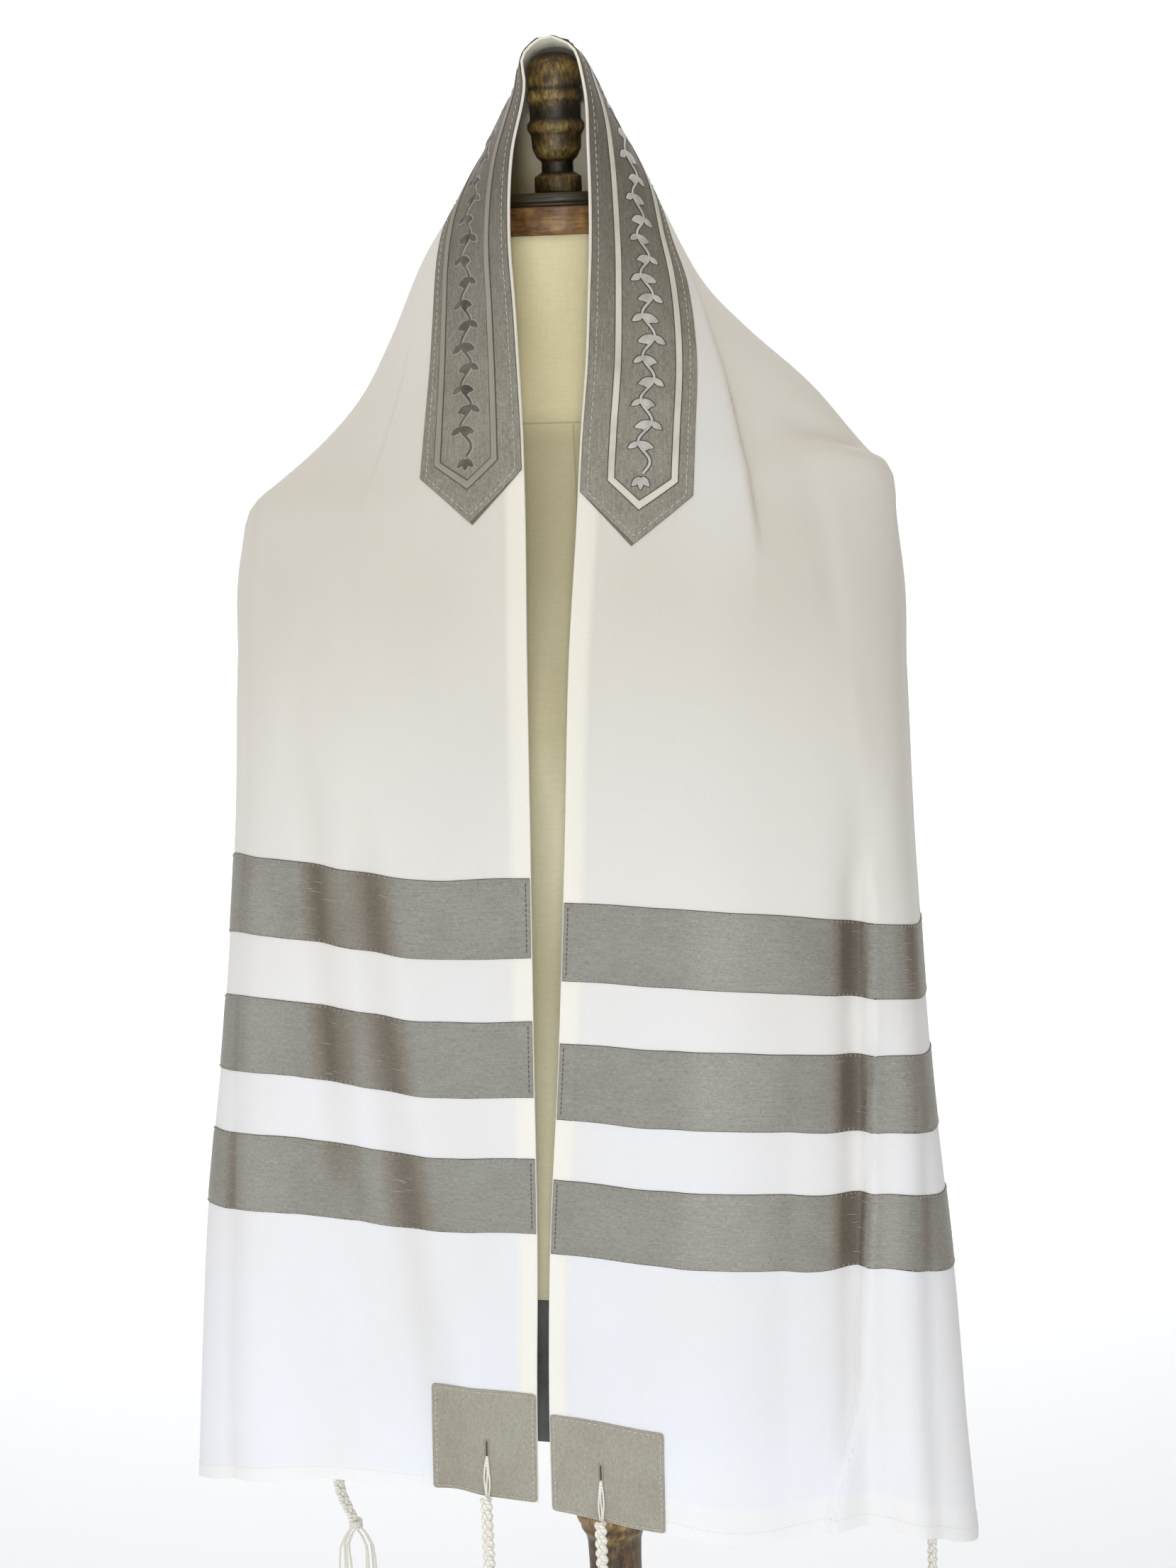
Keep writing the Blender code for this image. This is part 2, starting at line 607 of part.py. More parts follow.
def build_neckband(material):
    """The grey atarah along the neck edge, with pointed ends."""
    low = CLOTH / 2 + NECKBAND_GAP
    outline = pointed_outline(
        EDGE_MARGIN, EDGE_MARGIN + NECKBAND_WIDTH, NECKBAND_HALF, NECKBAND_POINT, NECKBAND_POINT_T
    )
    wall("atarah", outline, low, low + NECKBAND_CLOTH, material)


def ribbon_loop():
    """Outer and inner edges of the ribbon, pair by pair round the neckband."""
    near = (RIBBON_INNER, RIBBON_INNER + RIBBON_WIDTH)
    far = (RIBBON_OUTER + RIBBON_WIDTH, RIBBON_OUTER)
    turns = [side * (NECKBAND_HALF + side * SLIDE + RIBBON_TURN) for side in (-1, 1)]
    straight = [s for s in ROWS if turns[0] + 1e-6 < s < turns[1] - 1e-6]
    loop = []
    for side, leaving, entering in ((1, near, far), (-1, far, near)):
        turn = turns[0] if side < 0 else turns[1]
        inner_turn = turn - side * RIBBON_MITRE
        tip = turn + side * (RIBBON_TIP - RIBBON_TURN)
        point = ((tip, RIBBON_POINT_T), (tip - side * RIBBON_TIP_DEPTH, RIBBON_POINT_T))
        corners = [
            ((turn, leaving[0]), (inner_turn, leaving[1])),
            point,
            ((turn, entering[0]), (inner_turn, entering[1])),
        ]
        loop += [((s, leaving[0]), (s, leaving[1])) for s in straight[::side]]
        loop += [
            corners[0], halfway(corners[0], point), point, halfway(point, corners[2]), corners[2],
        ]
    return loop


def halfway(first, second):
    """The pair midway between two pairs of places."""
    return tuple(
        ((a[0] + b[0]) / 2, (a[1] + b[1]) / 2) for a, b in zip(first, second)
    )


def build_ribbon(material):
    """The satin ribbon sewn round the neckband as one closed outline."""
    low = CLOTH / 2 + NECKBAND_GAP + NECKBAND_CLOTH + NECKBAND_GAP
    builder = bmesh.new()
    rings = []
    for outer, inner in ribbon_loop():
        ring = []
        for (s, t), offset in (
            (outer, low), (inner, low), (inner, low + RIBBON_CLOTH), (outer, low + RIBBON_CLOTH),
        ):
            point, normal = on_facet(s, t)
            ring.append(builder.verts.new(point + normal * offset))
        rings.append(ring)
    for here, there in zip(rings, rings[1:] + rings[:1]):
        for k in range(4):
            n = (k + 1) % 4
            builder.faces.new((here[k], here[n], there[n]))
            builder.faces.new((here[k], there[n], there[k]))
    make_object("atarah_ribbon", builder, material)


def build_corner_squares(material):
    """A reinforcing square on each corner."""
    low = CLOTH / 2 + SEAM_GAP
    for side, word in ((-1, "left"), (1, "right")):
        half = SHAWL_LENGTH / 2 + side * SLIDE - EDGE_MARGIN
        ends = sorted((side * (half - CORNER_SQUARE), side * half))
        far = SHAWL_WIDTH - EDGE_MARGIN
        spans = {
            "front": (EDGE_MARGIN, EDGE_MARGIN + NECKBAND_WIDTH),
            "back": (far - CORNER_SQUARE, far),
        }
        for place, (first_t, last_t) in spans.items():
            outline = full_outline(*ends, first_t, last_t)
            wall(f"corner_{place}_{word}", outline, low, low + BAND_CLOTH, material)


def build_form(linen, dark, wood, cap_wood, metal, foot_wood):
    """The dress form: turned finial and cap, body, pole, column and foot."""
    turned("finial", FINIAL, FINE_SIDES, wood)
    turned("neck_cap", CAP, FOOT_SIDES, cap_wood)
    lofted("torso", TORSO, linen)
    lofted("torso_base", SKIRT, dark)
    pole = [
        (0.0, SKIRT_BOTTOM_Z - SEAM_GAP), (POLE_RADIUS, SKIRT_BOTTOM_Z - SEAM_GAP),
        (POLE_RADIUS, COLUMN_TOP_Z + SEAM_GAP), (0.0, COLUMN_TOP_Z + SEAM_GAP),
    ]
    turned("pole", pole, FINE_SIDES, metal)
    turned("column", COLUMN, FINE_SIDES, wood)
    turned("foot", FOOT, FOOT_SIDES, foot_wood)


def lofted(name, rings, material):
    """A closed body through level rounded sections."""
    builder = bmesh.new()
    stack = []
    first = rings[0]
    last = rings[-1]
    stack.append([builder.verts.new((0.0, first.middle_y, first.z))])
    power = 2 / TORSO_SQUARENESS
    for ring in rings:
        points = []
        for k in range(TORSO_SIDES):
            angle = 2 * math.pi * k / TORSO_SIDES
            c = math.cos(angle)
            s = math.sin(angle)
            points.append(builder.verts.new((
                ring.half_width * math.copysign(abs(c) ** power, c),
                ring.middle_y + ring.half_depth * math.copysign(abs(s) ** power, s),
                ring.z,
            )))
        stack.append(points)
    stack.append([builder.verts.new((0.0, last.middle_y, last.z))])
    close_rings(builder, stack)
    return make_object(name, builder, material)


def build_tassels(material):
    """A tzitzit at each corner: loop, wound head and hanging strands."""
    out = CLOTH / 2 + SEAM_GAP + BAND_CLOTH + 2 * SEAM_GAP
    for side, word in ((-1, "left"), (1, "right")):
        half = SHAWL_LENGTH / 2 + side * SLIDE
        for place, t in (("front", HOLE_FROM_EDGE), ("back", SHAWL_WIDTH - HOLE_FROM_EDGE)):
            rows = [side * (half - HOLE_FROM_HEM), side * (half - HOLE_FROM_HEM / 2), side * half]
            points, normals = surface_grid(rows, [t])
            name = f"tzitzit_{place}_{word}"
            one_tassel(name, points[:, 0], normals[:, 0], out, material)


def one_tassel(name, points, normals, out, material):
    """A flat loop over the corner square, a knotted head, loose strands."""
    builder = bmesh.new()
    forward = normals[-1].copy()
    forward[2] = 0.0
    forward /= np.linalg.norm(forward)
    sideways = np.array([-forward[1], forward[0], 0.0])
    rings = []
    for point, normal, wide in zip(points, normals, LOOP_TAPER):
        near = point + normal * out
        far = near + normal * LOOP_THICKNESS
        half = sideways * LOOP_WIDTH / 2 * wide
        rings.append([near - half, near + half, far + half, far - half])
    head_top = points[-1] + normals[-1] * (out + LOOP_THICKNESS / 2)
    head_top = head_top + forward * HEAD_FORWARD
    corner_angles = [math.radians(a) for a in (225, 315, 45, 135)]
    knot_pitch = TASSEL_HEAD / (KNOTS * 2)
    for k in range(KNOTS * 2 + 1):
        radius = TASSEL_RADIUS + (KNOT_SWELL if k % 2 == 1 else 0.0)
        if k == 0:
            radius *= 0.8
        centre = head_top + np.array([0.0, 0.0, -HEAD_DROP - k * knot_pitch])
        rings.append([
            centre + radius * (math.cos(a) * sideways + math.sin(a) * forward)
            for a in corner_angles
        ])
    verts = [[builder.verts.new(p) for p in ring] for ring in rings]
    last = verts[-1]
    middles = [
        builder.verts.new((rings[-1][k] + rings[-1][(k + 1) % 4]) / 2) for k in range(4)
    ]
    builder.faces.new(verts[0])
    for upper, lower in zip(verts, verts[1:]):
        for k in range(4):
            n = (k + 1) % 4
            if lower is last:
                builder.faces.new((upper[k], upper[n], lower[n], middles[k], lower[k]))
            else:
                builder.faces.new((upper[k], upper[n], lower[n], lower[k]))
    add_strands(builder, last, middles, sum(rings[-1]) / 4, sideways, forward)
    return make_object(name, builder, material)


def add_strands(builder, corners, middles, centre, sideways, forward):
    """Eight three-sided strands growing out of the head's last face."""
    length = TASSEL_TOTAL - TASSEL_HEAD
    hub = builder.verts.new(centre)
    for k in range(STRANDS // 2):
        for trio in ((corners[k], middles[k], hub), (hub, middles[k - 1], corners[k])):
            grow_strand(builder, trio, centre, sideways, forward, length)


def grow_strand(builder, trio, centre, sideways, forward, length):
    """Carry one three-cornered root down to its free end."""
    root = np.mean([np.array(v.co) for v in trio], axis=0)
    lean = root - centre
    lean[2] = 0.0
    lean /= max(np.linalg.norm(lean), 1e-6)
    seed = math.atan2(float(np.dot(lean, forward)), float(np.dot(lean, sideways)))
    inner = [
        builder.verts.new(root + (np.array(v.co) - root) * ROOT_SHRINK)
        for v in trio
    ]
    for k in range(3):
        n = (k + 1) % 3
        builder.faces.new((trio[k], trio[n], inner[n], inner[k]))
    ring = inner
    for step in range(1, STRAND_STEPS + 1):
        down = step / STRAND_STEPS
        reach = STRAND_SPREAD * (1 + 0.8 * math.sin(2.1 * seed))
        spread = lean * reach * math.sin(down * 2.2)
        sway = sideways * STRAND_SWAY * math.sin(3.0 * down + seed) * down
        middle = root + spread + sway + np.array([0.0, 0.0, -length * down])
        lower = [
            builder.verts.new(
                middle + STRAND_RADIUS * (
                    math.cos(seed + a) * sideways + math.sin(seed + a) * forward
                )
            )
            for a in (0.0, 2 * math.pi / 3, 4 * math.pi / 3)
        ]
        lower = best_turn(ring, lower)
        for k in range(3):
            n = (k + 1) % 3
            builder.faces.new((ring[k], ring[n], lower[n], lower[k]))
        ring = lower
    builder.faces.new(ring)


def best_turn(upper, lower):
    """Order the lower ring so that its corners lie under the upper ones."""
    choices = []
    for order in (lower, lower[::-1]):
        for k in range(3):
            choices.append(order[k:] + order[:k])

    def reach(choice):
        total = 0.0
        for a, b in zip(upper, choice):
            total += (a.co.x - b.co.x) ** 2 + (a.co.y - b.co.y) ** 2
        return total

    return min(choices, key=reach)


def main():
    """Clear the scene and build every piece."""
    for obj in list(bpy.data.objects):
        bpy.data.objects.remove(obj, do_unlink=True)
    white = make_material("white_cloth", (0.90, 0.90, 0.92), 0.85)
    grey = make_material("grey_silk", (0.26, 0.25, 0.22), 0.55)
    grey_band = make_material("neckband_silk", (0.21, 0.21, 0.20), 0.55)
    satin = make_material("ribbon_satin", (0.55, 0.52, 0.45), 0.4)
    ivory = make_material("tassel_wool", (0.88, 0.87, 0.80), 0.9)
    linen = make_material("form_linen", (0.60, 0.57, 0.40), 0.9)
    dark = make_material("form_base_cloth", (0.07, 0.07, 0.065), 0.8)
    wood = make_material("turned_wood", (0.10, 0.07, 0.04), 0.45)
    cap_wood = make_material("cap_wood", (0.24, 0.12, 0.05), 0.5)
    metal = make_material("pole_metal", (0.45, 0.45, 0.45), 0.35, 1.0)
    foot_wood = make_material("foot_wood", (0.12, 0.08, 0.045), 0.5)
    build_cloth(white)
    build_bands(grey)
    build_neckband(grey_band)
    build_ribbon(satin)
    build_corner_squares(grey)
    build_tassels(ivory)
    build_form(linen, dark, wood, cap_wood, metal, foot_wood)


main()
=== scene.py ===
"""The dressed tallit prayer shawl on its dress form stand.

Metres, +Z up, front at -Y, as in the frame.  The shawl is one long rectangle
of cloth: s is the distance along it from the finial (left half negative) and
t the distance across it from the neckband edge.  Every sewn-on piece, stitch
and thread is placed by s and t and moved out of the cloth.
"""

import math
import random
from collections import namedtuple

import bpy
import numpy as np
from mathutils import Matrix, Vector


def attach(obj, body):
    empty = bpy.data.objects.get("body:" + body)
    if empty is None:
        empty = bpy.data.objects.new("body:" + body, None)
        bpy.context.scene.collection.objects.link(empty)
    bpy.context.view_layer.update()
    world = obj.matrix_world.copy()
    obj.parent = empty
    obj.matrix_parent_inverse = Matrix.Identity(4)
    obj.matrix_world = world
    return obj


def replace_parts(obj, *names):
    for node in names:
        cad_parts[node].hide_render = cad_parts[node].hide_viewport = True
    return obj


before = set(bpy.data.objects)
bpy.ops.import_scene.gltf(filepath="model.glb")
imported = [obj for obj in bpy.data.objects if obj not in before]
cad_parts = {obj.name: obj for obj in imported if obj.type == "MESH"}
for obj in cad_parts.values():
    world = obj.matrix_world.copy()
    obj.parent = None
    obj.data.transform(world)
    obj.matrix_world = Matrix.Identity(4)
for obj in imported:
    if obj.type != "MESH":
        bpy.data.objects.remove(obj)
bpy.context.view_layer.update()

BODY = "root"
SEED = 7
SIDES = (-1, 1)            # left, right
MM = 0.001

# ---------------------------------------------------------------- shawl sizes
SHAWL_LENGTH = 2.074
SHAWL_WIDTH = 0.508
SLIDE = 0.008              # the shawl hangs this much further down on the right
LONG_HEM = 0.0130
END_HEM = 0.0110
BAND_WIDTH = 0.0535
BAND_GAP = 0.044
HEM_TO_BAND = 0.202
BAND_COUNT = 3
EDGE_RIM = 0.0006          # cloth left showing past the bands and squares
NECKBAND_EDGE = 0.0014     # cloth left showing beside the neckband
NECKBAND_FAR = 0.0755      # the t of its other edge
NECKBAND_HALF = 0.310
NECKBAND_POINT = 0.033
NECKBAND_POINT_T = 0.0385
FACING_WIDTH = 0.0024
RIBBON_WIDTH = 0.0047
RIBBON_INNER = 0.0188
RIBBON_OUTER = 0.0608
RIBBON_TURN = -0.008
RIBBON_TIP = 0.011
RIBBON_POINT_T = 0.0405
CORNER_SQUARE = 0.0769
FRONT_SQUARES = {-1: (0.0755, 0.0825), 1: (0.0812, 0.0769)}  # far edge's t, and length
SQUARE_ROUND = 0.0026
SQUARE_SEAM = 0.0023
VINE_MIDDLE = 0.0422
VINE_SWING = 0.0042
VINE_WAVE = 0.0290
VINE_STEM = 0.0028
# How much wider the sheet of painted highlight and shadow under the embroidery is.
VINE_SHADE_EDGE = 0.0016

# --------------------------------------------------------------- tassel sizes
HOLE_FROM_HEM = 0.044
HOLE_FROM_EDGE = 0.036
HOLE_LENGTH = 0.013
LOOP_RADIUS = 0.0007
HEAD_OUT = 0.0065
TASSEL_HEAD = 0.105
TASSEL_TOTAL = 0.265
# How a tassel differs: its head's length, its lean, how far its ends part.
TASSEL_WAYS = {"back_left": (0.0890, 0.0075, 0.0105)}
PLAIT_PITCH = 0.0215
PLAIT_SWING = 0.0026
PLAIT_DEPTH = 0.0017
CORD_RADIUS = 0.0019
CORDS = 3
STRANDS = 8
STRAND_RADIUS = 0.0009

# -------------------------------- heights over the cloth's middle, then relief
CLOTH_HALF = 0.0005
PATCH_LOW = 0.00055
BAND_LOW = 0.00060
BAND_HIGH = 0.00095
PATCH_HIGH = 0.00125
RELIEF_BASE = 0.00150      # the embroidery stands on the padded silk
RIBBON_BASE = PATCH_HIGH + 0.00035

RIBBON_HEIGHT = 0.0007
HEM_LIFT = 0.00035         # more, where the cloth is turned under
VINE_EDGE_HEIGHT = 0.00045
STEM_HEIGHT = 0.0009
# The folds' painted shade is darkest at this depth.
TROUGH_DEPTH = 0.0055      # a fold this deep shows the silk's darkest tone

# ----------------------------------------------------------------- hung shape
# Sections across the shawl at distances s from the finial: where the front edge
# and the side of each half lie, how far the front bows out between them, and
# what share of the drop from the one to the other lies above the bow.
Front = namedtuple(
    "Front",
    "s edge_left edge_right edge_y edge_z"
    " side_left side_right side_y side_left_z side_right_z bow share",
)
FRONT = [
    Front(0.000, -0.003, 0.003, -0.0225, 1.6085, 0.000, 0.000, 0.013, 1.6025, 1.6025, 0.000, 0.6),
    Front(0.012, 0.0095, 0.0130, -0.0235, 1.6055, 0.0130, 0.0135, 0.009, 1.6005, 1.6005, 0.000, 0.6),
    Front(0.022, 0.0150, 0.0190, -0.0255, 1.5990, 0.0200, 0.0205, 0.002, 1.5930, 1.5940, 0.001, 0.5),
    Front(0.045, 0.0145, 0.0255, -0.0320, 1.5780, 0.0285, 0.0305, 0.000, 1.5740, 1.5730, 0.001, 0.5),
    Front(0.090, 0.0210, 0.0300, -0.0520, 1.5350, 0.0605, 0.0600, -0.006, 1.5170, 1.5145, 0.002, 0.5),
    Front(0.145, 0.0220, 0.0320, -0.0690, 1.4800, 0.0945, 0.0875, -0.006, 1.4670, 1.4580, 0.004, 0.5),
    Front(0.190, 0.0185, 0.0310, -0.0800, 1.4370, 0.1200, 0.1235, -0.006, 1.4150, 1.4170, 0.007, 0.5),
    Front(0.230, 0.0155, 0.0300, -0.0910, 1.3980, 0.1450, 0.1650, -0.006, 1.3730, 1.3780, 0.011, 0.5),
    Front(0.280, 0.0125, 0.0265, -0.1030, 1.3500, 0.1900, 0.2080, -0.010, 1.3270, 1.3290, 0.018, 0.5),
    Front(0.297, 0.0120, 0.0255, -0.1063, 1.3336, 0.2070, 0.2215, -0.012, 1.3135, 1.3175, 0.021, 0.5),
    Front(0.319, 0.0116, 0.0243, -0.1099, 1.3124, 0.2275, 0.2240, -0.018, 1.2955, 1.2915, 0.025, 0.45),
    Front(0.340, 0.0115, 0.0230, -0.1130, 1.2920, 0.2325, 0.2250, -0.026, 1.2700, 1.2680, 0.028, 0.4),
    Front(0.420, 0.0125, 0.0165, -0.1220, 1.2130, 0.2335, 0.2245, -0.048, 1.1960, 1.1880, 0.034, 0.3),
    Front(0.560, 0.0155, 0.0080, -0.1265, 1.0730, 0.2400, 0.2310, -0.060, 1.0750, 1.0460, 0.036, 0.2),
    Front(0.700, 0.0195, -0.0020, -0.1265, 0.9330, 0.2570, 0.2410, -0.062, 0.9350, 0.9010, 0.036, 0.2),
    Front(0.850, 0.0240, -0.0150, -0.1250, 0.7830, 0.2810, 0.2580, -0.062, 0.7780, 0.7480, 0.034, 0.2),
    Front(0.950, 0.0290, -0.0200, -0.1240, 0.6830, 0.2930, 0.2660, -0.060, 0.6680, 0.6430, 0.032, 0.2),
    Front(1.048, 0.0325, -0.0225, -0.1220, 0.5850, 0.3030, 0.2740, -0.060, 0.5600, 0.5440, 0.030, 0.2),
]
# The rest of each section: the nape and the back, so far inside the side, and
# the tail, the cloth's far edge.
Back = namedtuple(
    "Back",
    "s nape_in nape_y nape_z back_in back_y back_z tail_left tail_right tail_y tail_z",
)
BACK = [
    Back(0.000, 0.000, 0.0240, 1.5860, 0.000, 0.062, 1.508, 0.000, 0.000, 0.124, 1.150),
    Back(0.012, 0.001, 0.0240, 1.5850, -0.001, 0.062, 1.507, 0.011, 0.011, 0.124, 1.150),
    Back(0.022, -0.001, 0.0235, 1.5820, -0.003, 0.062, 1.505, 0.020, 0.020, 0.124, 1.151),
    Back(0.045, -0.008, 0.0270, 1.5450, -0.015, 0.067, 1.470, 0.041, 0.041, 0.124, 1.155),
    Back(0.090, -0.012, 0.0400, 1.4700, -0.020, 0.086, 1.380, 0.082, 0.082, 0.123, 1.168),
    Back(0.145, -0.013, 0.0450, 1.4200, -0.022, 0.097, 1.318, 0.128, 0.128, 0.121, 1.190),
    Back(0.190, -0.012, 0.0460, 1.3750, -0.020, 0.095, 1.300, 0.156, 0.156, 0.119, 1.206),
    Back(0.230, -0.012, 0.0450, 1.3350, -0.015, 0.093, 1.282, 0.175, 0.178, 0.117, 1.216),
    Back(0.280, 0.002, 0.0430, 1.2880, 0.004, 0.091, 1.254, 0.188, 0.192, 0.115, 1.218),
    Back(0.297, 0.006, 0.0412, 1.2740, 0.010, 0.090, 1.244, 0.189, 0.193, 0.115, 1.214),
    Back(0.319, 0.0045, 0.0380, 1.2567, 0.012, 0.089, 1.231, 0.188, 0.192, 0.114, 1.205),
    Back(0.340, 0.000, 0.0350, 1.2400, 0.012, 0.088, 1.218, 0.186, 0.190, 0.114, 1.194),
    Back(0.420, -0.004, 0.0250, 1.1700, 0.014, 0.084, 1.157, 0.170, 0.176, 0.114, 1.136),
    Back(0.560, 0.000, 0.0200, 1.0420, 0.022, 0.080, 1.032, 0.155, 0.164, 0.113, 1.012),
    Back(0.700, 0.006, 0.0200, 0.9020, 0.032, 0.077, 0.893, 0.158, 0.168, 0.109, 0.878),
    Back(0.850, 0.014, 0.0170, 0.7520, 0.040, 0.073, 0.745, 0.178, 0.190, 0.102, 0.734),
    Back(0.950, 0.018, 0.0130, 0.6540, 0.043, 0.068, 0.648, 0.192, 0.206, 0.095, 0.640),
    Back(1.048, 0.020, 0.0100, 0.5560, 0.046, 0.063, 0.552, 0.205, 0.218, 0.088, 0.544),
]

# Soft troughs (depth below 0) and ridges.  side is -1 left, 1 right, 0 both.
Fold = namedtuple("Fold", "side s_top s_bottom t_top t_bottom width depth")
FOLDS = [
    Fold(-1, 0.42, 0.86, 0.162, 0.142, 0.015, -0.0052),
    Fold(-1, 0.46, 1.30, 0.116, 0.045, 0.016, -0.0050),
    Fold(-1, 0.50, 1.30, 0.205, 0.215, 0.022, 0.0050),
    Fold(1, 0.50, 1.30, 0.120, 0.130, 0.040, 0.0060),
    Fold(1, 0.46, 1.30, 0.205, 0.235, 0.017, -0.0075),
    Fold(1, 0.60, 1.30, 0.245, 0.272, 0.014, 0.0050),
    Fold(0, 0.40, 1.30, 0.385, 0.370, 0.018, -0.0070),
    Fold(0, 0.44, 1.30, 0.435, 0.430, 0.018, 0.0060),
    Fold(0, -0.40, 0.26, 0.215, 0.215, 0.020, 0.0050),
    Fold(0, -0.40, 0.30, 0.290, 0.260, 0.018, 0.0060),
    Fold(0, -0.40, 0.30, 0.365, 0.310, 0.018, 0.0060),
    Fold(0, -0.40, 0.38, 0.440, 0.350, 0.018, 0.0080),
    Fold(0, -0.40, 0.28, 0.252, 0.236, 0.016, -0.0030),
    Fold(0, -0.40, 0.32, 0.328, 0.278, 0.016, -0.0040),
]
FOLD_FADE = 0.14

# Painted shade where the silk turns away from the light and goes dull, and a painted highlight where
# depth is below 0; depth is a share here.
SHADE_AND_HIGHLIGHT_STREAKS = [
    Fold(-1, 0.55, 0.85, 0.2200, 0.2360, 0.0100, 0.70),
    Fold(1, 0.60, 0.90, 0.2520, 0.2560, 0.0170, 0.95),
    Fold(1, 0.45, 0.70, 0.2400, 0.2560, 0.0120, 0.30),
    Fold(1, 0.55, 0.90, 0.2260, 0.2340, 0.0090, -0.55),
]

# Small uneven creases that only the dressed cloth has.
CREASES = [
    Fold(-1, 0.62, 1.30, 0.062, 0.050, 0.010, -0.0012),
    Fold(-1, 0.55, 1.02, 0.134, 0.120, 0.007, -0.0014),
    Fold(-1, 0.50, 0.96, 0.181, 0.186, 0.009, 0.0012),
    Fold(-1, 0.70, 1.30, 0.232, 0.240, 0.008, -0.0016),
    Fold(-1, 0.30, 0.62, 0.150, 0.190, 0.012, -0.0018),
    Fold(1, 0.55, 1.30, 0.080, 0.086, 0.012, -0.0013),
    Fold(1, 0.60, 1.10, 0.160, 0.168, 0.008, -0.0012),
    Fold(1, 0.52, 1.30, 0.214, 0.243, 0.007, 0.0022),
    Fold(1, 0.66, 1.30, 0.262, 0.290, 0.008, -0.0020),
    Fold(1, 0.24, 0.50, 0.146, 0.205, 0.010, -0.0022),
    Fold(1, 0.30, 0.56, 0.176, 0.214, 0.008, 0.0014),
    Fold(0, 0.46, 1.10, 0.318, 0.330, 0.009, -0.0018),
    Fold(0, 0.60, 1.30, 0.352, 0.346, 0.008, 0.0018),
    Fold(0, 0.55, 1.30, 0.462, 0.470, 0.009, -0.0016),
    Fold(-1, 0.10, 0.34, 0.235, 0.300, 0.008, -0.0018),
    Fold(1, 0.08, 0.30, 0.262, 0.318, 0.009, 0.0016),
    Fold(1, 0.05, 0.26, 0.400, 0.370, 0.008, -0.0020),
    Fold(-1, 0.04, 0.28, 0.415, 0.392, 0.009, 0.0018),
]

# Folds that run across the cloth, above the right shoulder's point.
Tuck = namedtuple("Tuck", "side t_from t_to s_from s_to width depth")
TUCK_FADE = 0.035
TUCKS = [
    Tuck(1, 0.125, 0.232, 0.266, 0.288, 0.0080, -0.0042),
    Tuck(1, 0.140, 0.234, 0.287, 0.300, 0.0100, 0.0022),
]

# Crisp folds, each along a line of (s, t) places.  The cloth rises or sinks
# softly by rise up to the line, steps over a narrow drop, and comes back
# slowly from depth.
Lap = namedtuple("Lap", "side line before after rise depth drop")
LAPS = [
    Lap(
        1,
        ((0.125, 0.0760), (0.156, 0.0810), (0.200, 0.0870),
         (0.230, 0.0940), (0.258, 0.1010), (0.360, 0.1220)),
        0.024, 0.034, 0.0022, -0.0056, 0.0044,
    ),
    Lap(-1, ((0.190, 0.0960), (0.330, 0.1200)), 0.014, 0.020, 0.0012, -0.0020, 0.0030),
    Lap(
        1,
        ((0.540, 0.2100), (0.700, 0.2150), (0.800, 0.2190), (0.925, 0.2180),
         (0.975, 0.2110), (1.045, 0.1930), (1.300, 0.1500)),
        0.018, 0.030, -0.0030, 0.0068, 0.0050,
    ),
]
LAP_FADE = 0.045

# The cloth hangs a little askew: how far each place has slipped down its own
# slope, in millimetres, at rows across each half.
SKEW_ACROSS = (0.00, 0.03, 0.06, 0.09, 0.12, 0.15, 0.18, 0.21, 0.24, 0.27, 0.34, 0.42)
SKEW = {
    -1: [
        (0.470, (0, 0, 0, 0, 0, 0, 0, 0, 0, 0, 0, 0)),
        (0.578, (-1, -1, 0, -2, -5, -6, -5, -2, -1, -1, 0, 0)),
        (0.654, (1, 2, 1, 0, -4, -5, -4, -1, 3, 4, 2, 0)),
        (0.751, (2, 2, 2, 0, -5, -6, -6, -2, 3, 3, 2, 0)),
        (0.827, (3, 2, 2, 0, -5, -6, -5, -2, 3, 3, 2, 0)),
        (1.029, (3, -1, -5, -9, -12, -13, -12, -11, -9, -6, -2, 0)),
    ],
    1: [
        (0.500, (0, 0, 0, 0, 0, 0, 0, 0, 0, 0, 0, 0)),
        (0.620, (0, 0, 1, 1, 1, 1, 1, 1, 1, 4, 2, 0)),
        (0.692, (1, 1, 2, 1, -1, -1, -3, -5, -8, -6, -3, 0)),
        (0.768, (1, 2, 4, 3, 1, 0, -1, -4, -8, -6, -3, 0)),
        (0.843, (1, 2, 4, 5, 3, 2, 1, -4, -9, -7, -3, 0)),
        (1.045, (-8, -4, 1, 4, 6, 4, -4, -14, -18, -17, -6, 0)),
    ],
}

# ------------------------------------------------------------------ the stand
TURN_SIDES = 96
BODY_SIDES = 144
BODY_SQUARENESS = 2.3
MOULDED_Z = 1.4985
YOKE_SEAM_Z = 1.356
SEAM_HALF = 0.0008
# Bodies through level sections: height, half width, half depth, the middle's y.
TORSO = [
    (1.4795, 0.0500, 0.0500, 0.000), (1.440, 0.0505, 0.0520, 0.000),
    (1.405, 0.0580, 0.0570, 0.001), (1.380, 0.0850, 0.0640, 0.002),
    (1.355, 0.1250, 0.0720, 0.003), (1.330, 0.1600, 0.0780, 0.003),
    (1.300, 0.1800, 0.0840, 0.002), (1.260, 0.1830, 0.0920, 0.000),
    (1.210, 0.1740, 0.1010, -0.004), (1.160, 0.1600, 0.1080, -0.007),
    (1.100, 0.1430, 0.1020, -0.006), (1.040, 0.1270, 0.0900, -0.003),
    (0.990, 0.1200, 0.0850, 0.000), (0.930, 0.1300, 0.0920, 0.001),
    (0.870, 0.1480, 0.1010, 0.001), (0.810, 0.1610, 0.1060, 0.000),
    (0.746, 0.1650, 0.1080, 0.000),
]
SKIRT = [
    (0.7457, 0.1620, 0.1050, 0.000), (0.690, 0.1600, 0.1040, 0.000), (0.636, 0.1560, 0.1010, 0.000),
]
